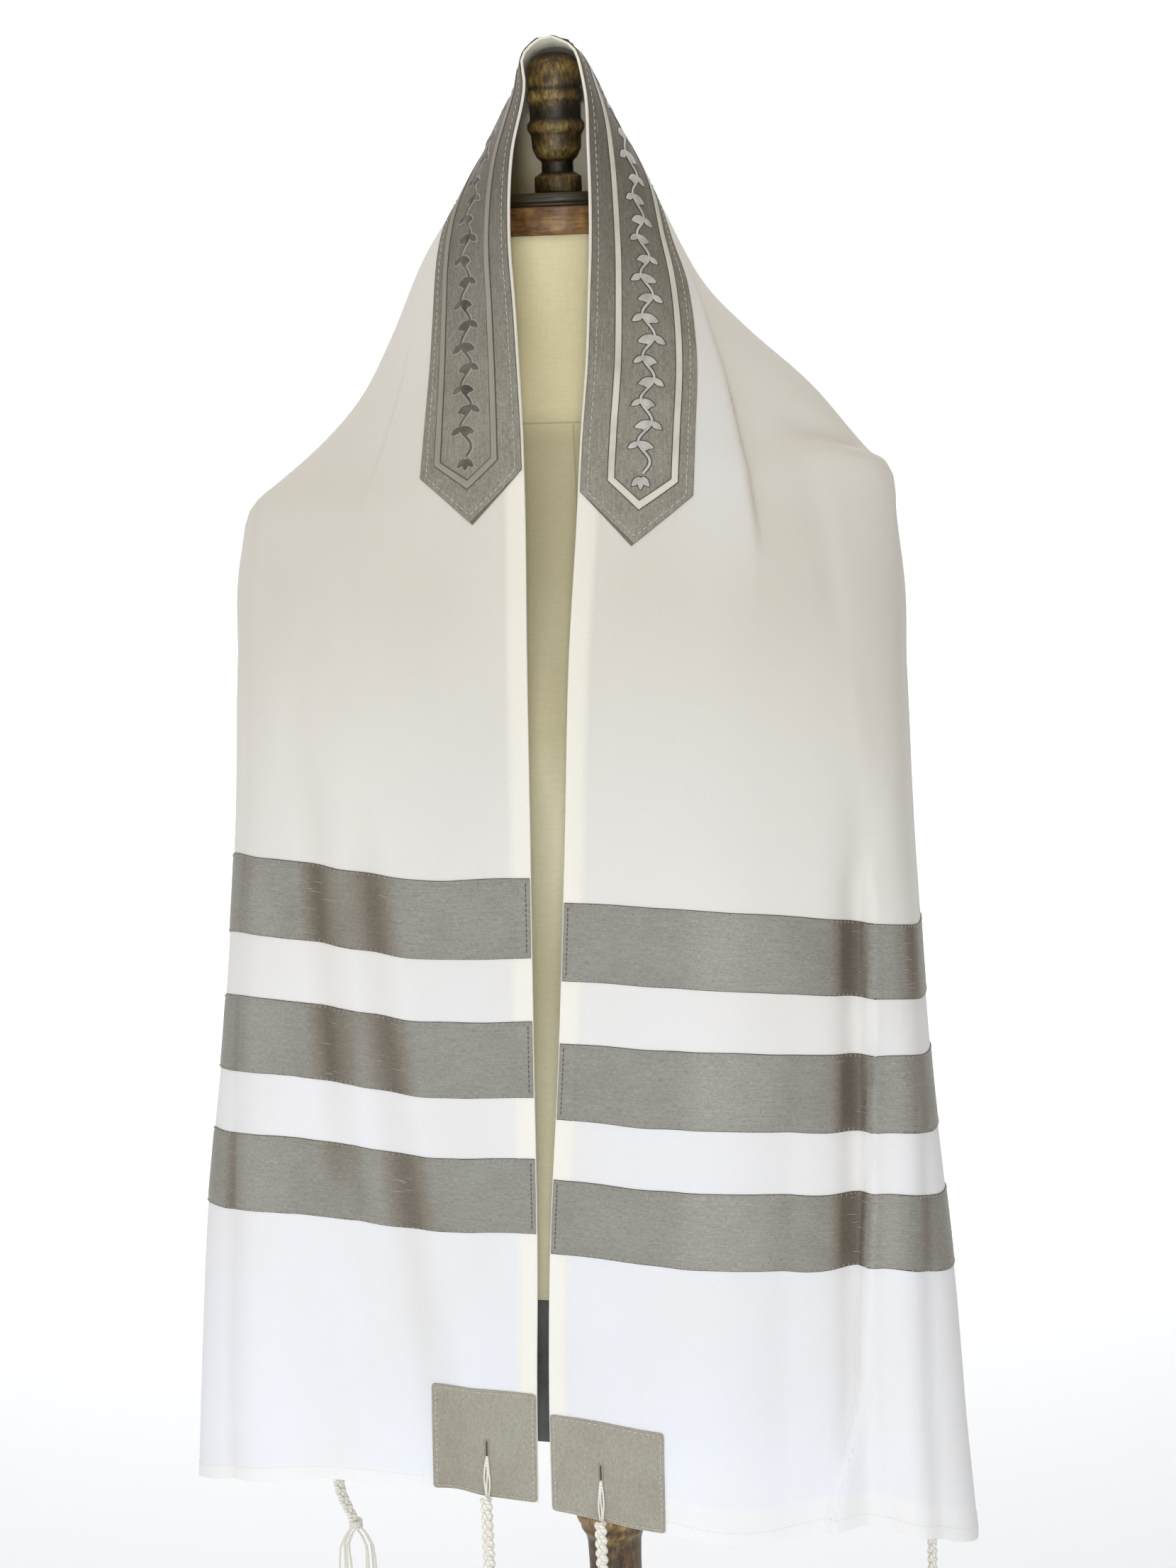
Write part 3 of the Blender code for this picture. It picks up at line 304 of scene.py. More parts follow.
# Turned outlines, top to bottom: radius and height.
FINIAL = [
    (0.0000, 1.6013), (0.0080, 1.6005), (0.0139, 1.5976), (0.0175, 1.5925),
    (0.0184, 1.5870), (0.0184, 1.5795), (0.0174, 1.5770), (0.0192, 1.5745),
    (0.0194, 1.5700), (0.0176, 1.5675), (0.0174, 1.5565), (0.0196, 1.5535),
    (0.0196, 1.5500), (0.0172, 1.5460), (0.0166, 1.5370), (0.0136, 1.5310),
    (0.0108, 1.5285), (0.0108, 1.5215), (0.0160, 1.5185), (0.0162, 1.5080),
    (0.0000, 1.5080),
]
CAP = [
    (0.0000, 1.5077), (0.0480, 1.5077), (0.0520, 1.5050), (0.0520, 1.5020),
    (0.0495, 1.5005), (0.0495, 1.4990), (0.0520, 1.4980), (0.0520, 1.4825),
    (0.0500, 1.4798), (0.0000, 1.4798),
]
POLE = [(0.0000, 0.6357), (0.0125, 0.6357), (0.0125, 0.5493), (0.0000, 0.5493)]
COLUMN = [
    (0.0000, 0.5490), (0.0215, 0.5490), (0.0262, 0.5462), (0.0287, 0.5415),
    (0.0278, 0.5350), (0.0250, 0.5300), (0.0246, 0.5265), (0.0222, 0.5235),
    (0.0202, 0.5170), (0.0196, 0.5000), (0.0192, 0.4300), (0.0200, 0.3800),
    (0.0240, 0.3700), (0.0240, 0.3620), (0.0205, 0.3540), (0.0225, 0.3200),
    (0.0300, 0.2500), (0.0335, 0.1900), (0.0310, 0.1300), (0.0220, 0.0950),
    (0.0205, 0.0860), (0.0300, 0.0780), (0.0300, 0.0680), (0.0235, 0.0600),
    (0.0330, 0.0480), (0.0340, 0.0343), (0.0000, 0.0343),
]
FOOT = [
    (0.0000, 0.0340), (0.0600, 0.0340), (0.0750, 0.0300), (0.1450, 0.0240),
    (0.1580, 0.0200), (0.1820, 0.0165), (0.1900, 0.0100), (0.1900, 0.0020),
    (0.1880, 0.0000), (0.0000, 0.0000),
]

# Puckers where the cloth turns over the top of the finial.
RUMPLE_HEIGHT = 0.0022
RUMPLE_STEP = 0.0095
RUMPLE_REACH = 0.026


# ------------------------------------------------------------- smooth curves
def tangents(knots, values):
    """Slope of a smooth curve at each knot, from its neighbours."""
    step = np.diff(knots)
    slope = np.diff(values, axis=0) / step[:, None]
    inner = (slope[:-1] * step[1:, None] + slope[1:] * step[:-1, None]) / (
        step[:-1] + step[1:]
    )[:, None]
    return np.vstack([slope[:1], inner, slope[-1:]])


def smooth(knots, values, at):
    """Values of the smooth curve through (knots, values) at each given place."""
    knots = np.asarray(knots, float)
    values = np.asarray(values, float)
    at = np.clip(np.atleast_1d(np.asarray(at, float)), knots[0], knots[-1])
    slope = tangents(knots, values)
    i = np.clip(np.searchsorted(knots, at, side="right") - 1, 0, len(knots) - 2)
    h = knots[i + 1] - knots[i]
    u = ((at - knots[i]) / h)[:, None]
    h = h[:, None]
    return (
        values[i] * (2 * u**3 - 3 * u**2 + 1)
        + slope[i] * h * (u**3 - 2 * u**2 + u)
        + values[i + 1] * (3 * u**2 - 2 * u**3)
        + slope[i + 1] * h * (u**3 - u**2)
    )


def ease(value):
    """0 to 1, with a soft start and end."""
    value = np.clip(value, 0.0, 1.0)
    return value * value * (3 - 2 * value)


def window(value, low, high, fade):
    """1 well inside low to high, easing to 0 at both."""
    return ease((value - low) / fade) * ease((high - value) / fade)


def bell(distance, width):
    """1 at no distance, falling off softly."""
    return np.exp(-((distance / width) ** 2))


def unit(vectors):
    """The same vectors, each of length 1."""
    return vectors / np.maximum(np.linalg.norm(vectors, axis=-1, keepdims=True), 1e-9)


def running_length(path):
    """Distance along a path to each of its points."""
    return np.concatenate([[0.0], np.cumsum(np.linalg.norm(np.diff(path, axis=0), axis=1))])


# ------------------------------------------------------------ the hung surface
CHEST_SHARE = 0.52         # how far towards the side the front bulges most
NARROW = 0.03              # sections narrower than this bulge upwards


def half_stations(front, back, side):
    """The six points that one section passes through, on one side."""
    left = side < 0
    side_x = front.side_left if left else front.side_right
    edge = np.array([front.edge_left if left else front.edge_right, front.edge_y, front.edge_z])
    turn = np.array([side_x, front.side_y, front.side_left_z if left else front.side_right_z])
    run = turn - edge
    across = max(math.hypot(run[0], run[1]), 1e-6)
    if across < NARROW:
        outward = np.array([0.0, 0.0, 1.0])
    else:
        outward = np.array([-run[1], run[0], 0.0]) / across
        outward = -outward if outward[1] > 0 else outward
    chest = edge + run * (CHEST_SHARE, CHEST_SHARE, front.share) + outward * front.bow
    nape = np.array([side_x - back.nape_in, back.nape_y, back.nape_z])
    rear = np.array([side_x - back.back_in, back.back_y, back.back_z])
    tail = np.array([back.tail_left if left else back.tail_right, back.tail_y, back.tail_z])
    points = np.array([edge, chest, turn, nape, rear, tail])
    points[:, 0] *= side
    return points


def station_table():
    """Signed distance along the shawl against its section's six points."""
    rows = []
    for front, back in zip(reversed(FRONT[1:]), reversed(BACK[1:])):
        rows.append((-front.s, half_stations(front, back, -1)))
    for front, back in zip(FRONT, BACK):
        rows.append((front.s, half_stations(front, back, 1)))
    knots = np.array([s for s, _ in rows])
    values = np.array([points.ravel() for _, points in rows])
    return knots, values


STATION_KNOTS, STATION_VALUES = station_table()
SIDE_STATION = 2
SECTION_STEPS = 160


def plain_points(s, t):
    """The shawl before its folds.  t is a true length as far as the side."""
    points = smooth(STATION_KNOTS, STATION_VALUES, s)[0].reshape(-1, 3)
    knots = running_length(points)
    at = np.linspace(0.0, knots[-1], SECTION_STEPS)
    curve = smooth(knots, points, at)
    length = running_length(curve)
    side_length = np.interp(knots[SIDE_STATION], at, length)
    rest = (length[-1] - side_length) / (SHAWL_WIDTH - side_length)
    run = np.where(t <= side_length, t, side_length + (t - side_length) * rest)
    return np.stack([np.interp(run, length, curve[:, k]) for k in range(3)], axis=1)


def rumples(s, t):
    """Uneven little waves at the top of the hood."""
    wander = RUMPLE_STEP * (1 + 0.25 * np.sin(t * 140.0))
    along = (1 + np.sin(2 * math.pi * (s + 0.12 * t) / wander + 0.6)) / 2
    over = (1 + np.sin(2 * math.pi * (t + 0.5 * s) / (RUMPLE_STEP * 1.3) + 2.0)) / 2
    near = bell(s, RUMPLE_REACH) * bell(t, RUMPLE_REACH)
    return RUMPLE_HEIGHT * (0.6 * along + 0.4 * over) * near


def fold_height(s, t):
    """How far the folds and creases move the cloth out of the plain surface."""
    side = -1 if s < 0 else 1
    reach = abs(s)
    height = np.zeros_like(t)
    for fold in FOLDS + CREASES:
        if fold.side in (0, side):
            top = max(fold.s_top, 0.0)
            along = ease((reach - top) / (fold.s_bottom - top))
            middle = fold.t_top + (fold.t_bottom - fold.t_top) * along
            fade = window(reach, fold.s_top, fold.s_bottom, FOLD_FADE)
            height += fold.depth * fade * bell(t - middle, fold.width)
    for tuck in TUCKS:
        if tuck.side == side:
            along = ease((t - tuck.t_from) / (tuck.t_to - tuck.t_from))
            middle = tuck.s_from + (tuck.s_to - tuck.s_from) * along
            fade = window(t, tuck.t_from, tuck.t_to, TUCK_FADE)
            height += tuck.depth * fade * bell(reach - middle, tuck.width)
    for lap in LAPS:
        if lap.side == side:
            along, across = zip(*lap.line)
            past = t - np.interp(reach, along, across)
            before = lap.rise * bell(past, lap.before)
            after = lap.depth * np.exp(-np.maximum(past, 0.0) / lap.after)
            dropped = ease(past / lap.drop)
            fade = window(reach, along[0], along[-1], LAP_FADE)
            height += fade * (before * (1 - dropped) + after * dropped)
    return height + rumples(s, t)


def skew(s, t):
    """How far down its own slope the cloth has slipped, in metres."""
    reaches, rows = zip(*SKEW[-1 if s < 0 else 1])
    across = smooth(reaches, rows, abs(s))[0]
    return MM * smooth(SKEW_ACROSS, across[:, None], t)[:, 0]


TABLE_STEP = 0.002


def normals_of(points):
    """Outward directions of a grid of points."""
    return unit(np.cross(np.gradient(points, axis=0), np.gradient(points, axis=1)))


def surface_table():
    """Places, points, outward directions and fold heights, every 2 mm both ways."""
    half = SHAWL_LENGTH / 2 + SLIDE
    along = np.linspace(-half, half, int(round(2 * half / TABLE_STEP)) + 1)
    over = np.linspace(0.0, SHAWL_WIDTH, int(round(SHAWL_WIDTH / TABLE_STEP)) + 1)
    plain = np.array([plain_points(s, over) for s in along])
    down = unit(np.gradient(plain, axis=0)) * np.sign(along)[:, None, None]
    plain = plain + down * np.array([skew(s, over) for s in along])[:, :, None]
    height = np.array([fold_height(s, over) for s in along])[:, :, None]
    points = plain + normals_of(plain) * height
    return along, over, points, normals_of(points), height


TABLE_S, TABLE_T, TABLE_POINTS, TABLE_NORMALS, TABLE_HEIGHT = surface_table()


def look_up(tables, s, t):
    """Values of each table at matching arrays of s and t."""
    s, t = np.broadcast_arrays(np.asarray(s, float), np.asarray(t, float))
    row = np.clip((s - TABLE_S[0]) / (TABLE_S[1] - TABLE_S[0]), 0, len(TABLE_S) - 1.001)
    line = np.clip((t - TABLE_T[0]) / (TABLE_T[1] - TABLE_T[0]), 0, len(TABLE_T) - 1.001)
    i = row.astype(int)
    j = line.astype(int)
    u = (row - i)[..., None]
    v = (line - j)[..., None]
    blended = []
    for table in tables:
        upper = table[i, j] * (1 - v) + table[i, j + 1] * v
        lower = table[i + 1, j] * (1 - v) + table[i + 1, j + 1] * v
        blended.append(upper * (1 - u) + lower * u)
    return blended


def above(s, t, height):
    """Points some height over the cloth's middle, and the outward directions."""
    points, normals = look_up((TABLE_POINTS, TABLE_NORMALS), s, t)
    normals = unit(normals)
    return points + normals * np.asarray(height, float)[..., None], normals


def half_length(side):
    """Length of one half of the shawl, from the finial to its hem."""
    return SHAWL_LENGTH / 2 + side * SLIDE


HEM_EDGE = 0.0006          # over this width the turned-under cloth steps down


def hem_lift(s, t):
    """Extra height where the cloth is turned under along its edges."""
    to_end = half_length(np.where(s < 0, -1, 1)) - np.abs(s)
    long_edge = ease((LONG_HEM - np.minimum(t, SHAWL_WIDTH - t)) / HEM_EDGE)
    end_edge = ease((END_HEM - to_end) / HEM_EDGE)
    return HEM_LIFT * np.maximum(long_edge, end_edge)


def over_hems(s, t, height):
    """Points some height over the cloth and its hems, and the outward directions."""
    return above(s, t, height + hem_lift(s, t))


# -------------------------------------------------------------- mesh helpers
SMOOTH_ANGLE = math.radians(50)
TURNED_ANGLE = math.radians(40)


class Shape:
    """Points, faces and cut coordinates gathered for one mesh."""

    def __init__(self):
        self.points = []
        self.faces = []
        self.cut = []
        self.count = 0

    def add(self, points, faces, cut):
        """Add points with their faces, numbered from 0, and their coordinates."""
        points = np.asarray(points, float).reshape(-1, 3)
        self.points.append(points)
        self.cut.append(np.asarray(cut, float).reshape(-1, 2))
        self.faces += [tuple(corner + self.count for corner in face) for face in faces]
        self.count += len(points)

    def finish(self, name, material, slot, sharp=SMOOTH_ANGLE):
        """Make the object, with its cut coordinates as a UV map."""
        mesh = bpy.data.meshes.new(name)
        mesh.from_pydata(np.concatenate(self.points).tolist(), [], self.faces)
        corners = np.empty(len(mesh.loops), dtype=np.int32)
        mesh.loops.foreach_get("vertex_index", corners)
        layer = mesh.uv_layers.new(name="cut")
        layer.data.foreach_set("uv", np.concatenate(self.cut)[corners].ravel())
        mesh.materials.append(material)
        mesh.shade_smooth()
        mesh.set_sharp_from_angle(angle=sharp)
        obj = bpy.data.objects.new(name, mesh)
        bpy.context.collection.objects.link(obj)
        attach(obj, BODY)
        return obj


def spaced(marks, step):
    """Evenly spaced values that include every mark."""
    marks = sorted(set(marks))
    values = [marks[0]]
    for low, high in zip(marks, marks[1:]):
        count = max(1, int(round((high - low) / step)))
        values += [low + (high - low) * (k + 1) / count for k in range(count)]
    return np.array(values)


def grid_faces(rows, columns, first=0, flip=False):
    """Four-cornered faces of a grid of points, row by row."""
    faces = []
    for i in range(rows - 1):
        for j in range(columns - 1):
            a = first + i * columns + j
            face = (a, a + 1, a + columns + 1, a + columns)
            faces.append(face[::-1] if flip else face)
    return faces


def ring_faces(rings, sides, flip=False):
    """Faces of a tube of rings, closed by a last point for each end."""
    faces = []
    for i in range(rings - 1):
        a = i * sides
        for j in range(sides):
            n = (j + 1) % sides
            faces.append((a + j, a + n, a + sides + n, a + sides + j))
    last = (rings - 1) * sides
    for j in range(sides):
        n = (j + 1) % sides
        faces.append((rings * sides, n, j))
        faces.append((rings * sides + 1, last + j, last + n))
    return [face[:1] + face[:0:-1] for face in faces] if flip else faces


def rim_of(rows, columns):
    """Indexes of a grid's border points, in order round it."""
    top = list(range(columns))
    right = [i * columns + columns - 1 for i in range(1, rows)]
    bottom = [(rows - 1) * columns + j for j in range(columns - 2, -1, -1)]
    left = [i * columns for i in range(rows - 2, 0, -1)]
    return top + right + bottom + left


RIM_SHARE = 0.35           # how far a wall's rounded rim stands out, by its thickness


def shell(name, s, t, low, high, material, slot, puff=0.0):
    """A thin closed wall with a rounded rim over a grid of (s, t) places.

    puff is extra height of the upper face at each place.
    """
    rows, columns = s.shape
    lift = hem_lift(s, t)
    points, _ = above(s, t, 0.0)
    under, _ = above(s, t, low + lift * (-1.0 if low < 0 else 1.0))
    over, _ = above(s, t, high + lift + puff)
    inward = np.zeros_like(points)
    inward[0] = points[1] - points[0]
    inward[-1] = points[-2] - points[-1]
    inward[1:-1, 0] = points[1:-1, 1] - points[1:-1, 0]
    inward[1:-1, -1] = points[1:-1, -2] - points[1:-1, -1]
    rim = rim_of(rows, columns)
    edge = ((under + over) / 2).reshape(-1, 3)[rim]
    edge = edge - unit(inward.reshape(-1, 3)[rim]) * (high - low) * RIM_SHARE
    total = rows * columns
    faces = grid_faces(rows, columns, flip=True)
    faces += grid_faces(rows, columns, first=total)
    for k in range(len(rim)):
        n = (k + 1) % len(rim)
        faces.append((rim[k], rim[n], 2 * total + n, 2 * total + k))
        faces.append((2 * total + k, 2 * total + n, total + rim[n], total + rim[k]))
    cut = np.stack([t, s], axis=-1).reshape(-1, 2)
    shape = Shape()
    all_points = np.concatenate([under.reshape(-1, 3), over.reshape(-1, 3), edge])
    shape.add(all_points, faces, np.concatenate([cut, cut, cut[rim]]))
    return shape.finish(name, material, slot)


def tube_into(shape, path, radius, sides, twist=0.0):
    """Add a closed tube along a path; radius is one value or one per point."""
    path = np.asarray(path, float)
    count = len(path)
    radius = np.broadcast_to(np.asarray(radius, float), (count,))[:, None, None]
    forward = unit(np.gradient(path, axis=0))
    across = [unit(np.cross(forward[0], (0.31, 0.87, 0.22)))]
    for k in range(1, count):
        carried = across[-1] - forward[k] * np.dot(across[-1], forward[k])
        across.append(unit(carried))
    across = np.array(across)
    other = np.cross(forward, across)
    run = running_length(path)
    angle = 2 * math.pi * np.arange(sides) / sides
    turn = (angle[None, :] + (run * twist)[:, None])[..., None]
    ring = (
        path[:, None, :]
        + radius * np.cos(turn) * across[:, None, :]
        + radius * np.sin(turn) * other[:, None, :]
    )
    points = np.concatenate([ring.reshape(-1, 3), path[:1], path[-1:]])
    cut = np.stack([np.tile(np.arange(sides) / sides, count), np.repeat(run, sides)], axis=-1)
    cut = np.concatenate([cut, [[0.0, run[0]], [0.0, run[-1]]]])
    shape.add(points, ring_faces(count, sides), cut)


THREAD_SIDES = 5


def thread_into(shape, ends, normal, radius, rise):
    """Add one stitch: a short thread that dips into the cloth at both ends."""
    start, end = ends
    path = np.array([
        start - normal * radius,
        start * 0.8 + end * 0.2 + normal * rise * 0.7,
        (start + end) / 2 + normal * rise,
        start * 0.2 + end * 0.8 + normal * rise * 0.7,
        end - normal * radius,
    ])
    tube_into(shape, path, radius * np.array([0.5, 1.0, 1.0, 1.0, 0.5]), THREAD_SIDES)


def seam_into(shape, path, spacing, length, radius, height):
    """Running stitches along a path of (s, t) places."""
    path = np.asarray(path, float)
    run = running_length(path)
    for near in np.arange(0.0, run[-1] - length, spacing):
        s, t = (np.interp([near, near + length], run, path[:, k]) for k in (0, 1))
        ends, normals = over_hems(s, t, height)
        thread_into(shape, ends, normals[0], radius, radius * 0.6)


def line_into(shape, places, radius, height, lift=over_hems):
    """Add a thread lying along (s, t) places."""
    points, _ = lift(places[:, 0], places[:, 1], height)
    tube_into(shape, points, radius, THREAD_SIDES)


def dense(corners, step):
    """Points every step along straight runs between corners."""
    places = [corners[0]]
    for a, b in zip(corners, corners[1:]):
        count = max(1, int(round(math.dist(a, b) / step)))
        for k in range(1, count + 1):
            places.append((a[0] + (b[0] - a[0]) * k / count, a[1] + (b[1] - a[1]) * k / count))
    return np.array(places)


def store(obj, name, values):
    """Store one value per point on a mesh, for its material."""
    layer = obj.data.attributes.new(name=name, type="FLOAT", domain="POINT")
    layer.data.foreach_set("value", np.asarray(values, dtype=np.float32))


# ----------------------------------------------------------------- materials
def srgb(code):
    """A colour written as six hex digits, as linear values with alpha."""
    parts = [int(code[k:k + 2], 16) / 255 for k in (0, 2, 4)]
    linear = [c / 12.92 if c <= 0.04045 else ((c + 0.055) / 1.055) ** 2.4 for c in parts]
    return (*linear, 1.0)


class Recipe:
    """A node-based material under construction.  Colours are six hex digits."""

    def __init__(self, name, roughness, specular=0.3):
        self.material = bpy.data.materials.new(name)
        self.material.use_nodes = True
        self.tree = self.material.node_tree
        self.shader = self.tree.nodes["Principled BSDF"]
        self.set({"Roughness": roughness, "Specular IOR Level": specular})
        coordinates = self.tree.nodes.new("ShaderNodeTexCoord")
        self.cut = coordinates.outputs["UV"]
        self.where = coordinates.outputs["Object"]

    def set(self, values):
        """Set constants on the shader itself."""
        for key, value in values.items():
            self.shader.inputs[key].default_value = value

    def put(self, kind, values=None, **settings):
        """Add a node; values go to its inputs, as numbers, colours or links."""
        made = self.tree.nodes.new(kind)
        for key, value in settings.items():
            setattr(made, key, value)
        for key, value in (values or {}).items():
            if isinstance(value, bpy.types.NodeSocket):
                self.tree.links.new(value, made.inputs[key])
            else:
                made.inputs[key].default_value = srgb(value) if isinstance(value, str) else value
        return made

    def stretched(self, source, scale):
        """Coordinates multiplied by a scale for each axis."""
        return self.put("ShaderNodeMapping", {"Vector": source, "Scale": scale}).outputs["Vector"]

    def axis(self, source, letter):
        """One of the coordinates, by its letter."""
        return self.put("ShaderNodeSeparateXYZ", {"Vector": source}).outputs[letter]

    def noise(self, vector, scale, detail=3.0, rough=0.55):
        """A noise pattern, about 0.3 to 0.7."""
        values = {"Vector": vector, "Scale": scale, "Detail": detail, "Roughness": rough}
        return self.put("ShaderNodeTexNoise", values).outputs["Fac"]

    def streaks(self, source, scale, detail=2.0, rough=0.55):
        """Noise drawn out by a scale for each axis."""
        return self.noise(self.stretched(source, scale), 1.0, detail, rough)

    def wave(self, vector, scale, direction, distortion=0.0):
        """Parallel stripes from 0 to 1."""
        values = {"Vector": vector, "Scale": scale, "Distortion": distortion, "Detail": 1.0}
        return self.put("ShaderNodeTexWave", values, bands_direction=direction).outputs["Fac"]

    def ramp(self, factor, *stops):
        """Colours, or greys, along a factor: (place, colour), ..."""
        made = self.put("ShaderNodeValToRGB", {"Fac": factor})
        elements = made.color_ramp.elements
        while len(elements) < len(stops):
            elements.new(0.5)
        for element, (place, colour) in zip(elements, stops):
            element.position = place
            element.color = srgb(colour) if isinstance(colour, str) else (colour, colour, colour, 1.0)
        return made.outputs["Color"]

    def mix(self, factor, first, second, blend="MIX"):
        """The second colour over the first."""
        values = {0: factor, 6: first, 7: second}
        return self.put("ShaderNodeMix", values, data_type="RGBA", blend_type=blend).outputs[2]

    def shade(self, colour, factor, *stops):
        """A colour multiplied by a ramp."""
        return self.mix(1.0, colour, self.ramp(factor, *stops), "MULTIPLY")

    def sum(self, first, second, operation="ADD"):
        """Arithmetic on two values."""
        return self.put("ShaderNodeMath", {0: first, 1: second}, operation=operation).outputs[0]

    def times(self, first, second):
        """One value multiplied by another."""
        return self.sum(first, second, "MULTIPLY")

    def size(self, value):
        """A value without its sign."""
        return self.sum(value, 0.0, "ABSOLUTE")

    def stripe(self, value, half):
        """1 within half of zero, 0 farther off."""
        return self.ramp(self.times(self.size(value), 0.5 / half), (0.25, 1.0), (0.5, 0.0))

    def toward_right(self, half):
        """0 on the left of the part and 1 on its right, over a soft middle."""
        place = self.sum(self.times(self.axis(self.where, "X"), 8.0), 0.5)
        return self.ramp(place, (0.5 - half, 0.0), (0.5 + half, 1.0))

    def attribute(self, name):
        """A value stored on the mesh's points."""
        return self.put("ShaderNodeAttribute", attribute_name=name).outputs["Fac"]

    def bump(self, height, strength, distance):
        """Relief from a height pattern."""
        values = {"Height": height, "Strength": strength, "Distance": distance}
        self.link(self.put("ShaderNodeBump", values).outputs["Normal"], "Normal")

    def link(self, output, key):
        """Let a pattern drive one of the shader's sockets."""
        self.tree.links.new(output, self.shader.inputs[key])

    def colour(self, output):
        """Use a pattern as the base colour."""
        self.link(output, "Base Color")

    def sheen(self, weight, roughness, tint):
        """The soft bright rim of fibres."""
        self.set({"Sheen Weight": weight, "Sheen Roughness": roughness, "Sheen Tint": srgb(tint)})

    def coat(self, weight, roughness):
        """A thin clear varnish."""
        self.set({"Coat Weight": weight, "Coat Roughness": roughness})


CLOTH_GLOW = 0.35          # share of light that passes into the thin cloth
GLOW_REACH = (1.0, 0.92, 0.72)
GLOW_SCALE = 0.004


def white_cloth_material():
    """Fine plain-woven white cloth, with painted shade: greyer and warmer above, lighter and cooler
    below.
    """
    recipe = Recipe("shawl_white_cloth", 0.85, 0.2)
    across = recipe.axis(recipe.cut, "X")
    reach = recipe.size(recipe.axis(recipe.cut, "Y"))
    # Painted shade along the shawl: darkest and warmest about 0.38 m from the finial, lighter and cooler
    # towards the hems.
    tint = recipe.ramp(
        reach,
        (0.10, "f0ebe0"), (0.38, "dcd6ca"), (0.58, "e7e4de"), (0.72, "eeecec"), (1.00, "eceef3"),
    )
    patches = recipe.noise(recipe.stretched(recipe.cut, (1.0, 0.55, 1.0)), 9.0, 2.0)
    tint = recipe.mix(recipe.ramp(patches, (0.42, 0.0), (0.70, 0.35)), tint, "e9e3da")
    # Painted shade behind the lap over the right shoulder.
    tint = recipe.mix(recipe.attribute("lap_shade"), tint, "e8e5df")
    # Painted shade in the folds.
    fold_shade = recipe.ramp(recipe.attribute("fold_shading"), (0.30, 0.0), (1.0, 0.30))
    tint = recipe.mix(fold_shade, tint, "d3cec4")
    # Painted light at the hood's peak: cream, as if light shone through the thin cloth.
    peak = recipe.ramp(reach, (0.030, 1.0), (0.075, 0.0))
    rim = recipe.ramp(across, (0.012, 1.0), (0.040, 0.0))
    tint = recipe.mix(recipe.times(peak, rim), tint, "f5ecca")
    # Painted shade on the inner side of the hood.
    tint = recipe.mix(recipe.attribute("inside"), tint, "59543f")
    hem = recipe.ramp(across, (0.0, 1.0), (0.0126, 1.0), (0.0130, 0.0))
    tint = recipe.mix(recipe.times(hem, 0.7), tint, "f4efe2")
    low_hem = recipe.ramp(recipe.sum(reach, -0.5), (0.5185, 0.0), (0.5190, 1.0))
    tint = recipe.mix(recipe.times(low_hem, 0.5), tint, "f3f1ee")
    fleck = recipe.noise(recipe.cut, 900.0, 2.0)
    recipe.colour(recipe.shade(tint, fleck, (0.3, 0.95), (0.7, 1.0)))
    threads = [recipe.wave(recipe.cut, 480.0, direction, 0.4) for direction in "XY"]
    recipe.bump(recipe.sum(recipe.sum(*threads), fleck), 0.10, 0.0002)
    recipe.sheen(0.15, 0.5, "ffffff")
    recipe.set({
        "Subsurface Weight": CLOTH_GLOW, "Subsurface Radius": GLOW_REACH, "Subsurface Scale": GLOW_SCALE,
    })
    return recipe.material


# Raw silk.  along is the cut axis of its thicker threads, streak and cloud the
# strength of its tone lines and patches, top_dark how strong the painted shade
# at the peak is.  warm tints the random patches and is also the painted shade in
# the folds; shine is the painted highlight on the folds' high places.
Silk = namedtuple("Silk", "along base warm shine streak cloud_scale cloud top_dark depth")
SILKS = {
    "grey_silk": Silk("t", "8b8a82", "776e60", "9f9d95", 0.07, 30.0, 0.25, 0.0, 0.20),
    "square_silk": Silk("s", "9c988b", "8d8475", "a6a296", 0.04, 26.0, 0.40, 0.0, 0.20),
    "neckband_silk": Silk("s", "8f8c80", "776f60", "a19d90", 0.11, 36.0, 0.35, 0.85, 0.30),
    "facing_silk": Silk("s", "6f6b62", "5f584c", "7b776e", 0.10, 48.0, 0.75, 0.0, 0.20),
}
FINE_THREADS = (260.0, 1700.0)
CROSS_THREADS = (300.0, 1500.0)
LONG_THREADS = (60.0, 620.0)
# Painted shade in the deepest folds and near the peak.
SILK_SHADE = "5b5448"


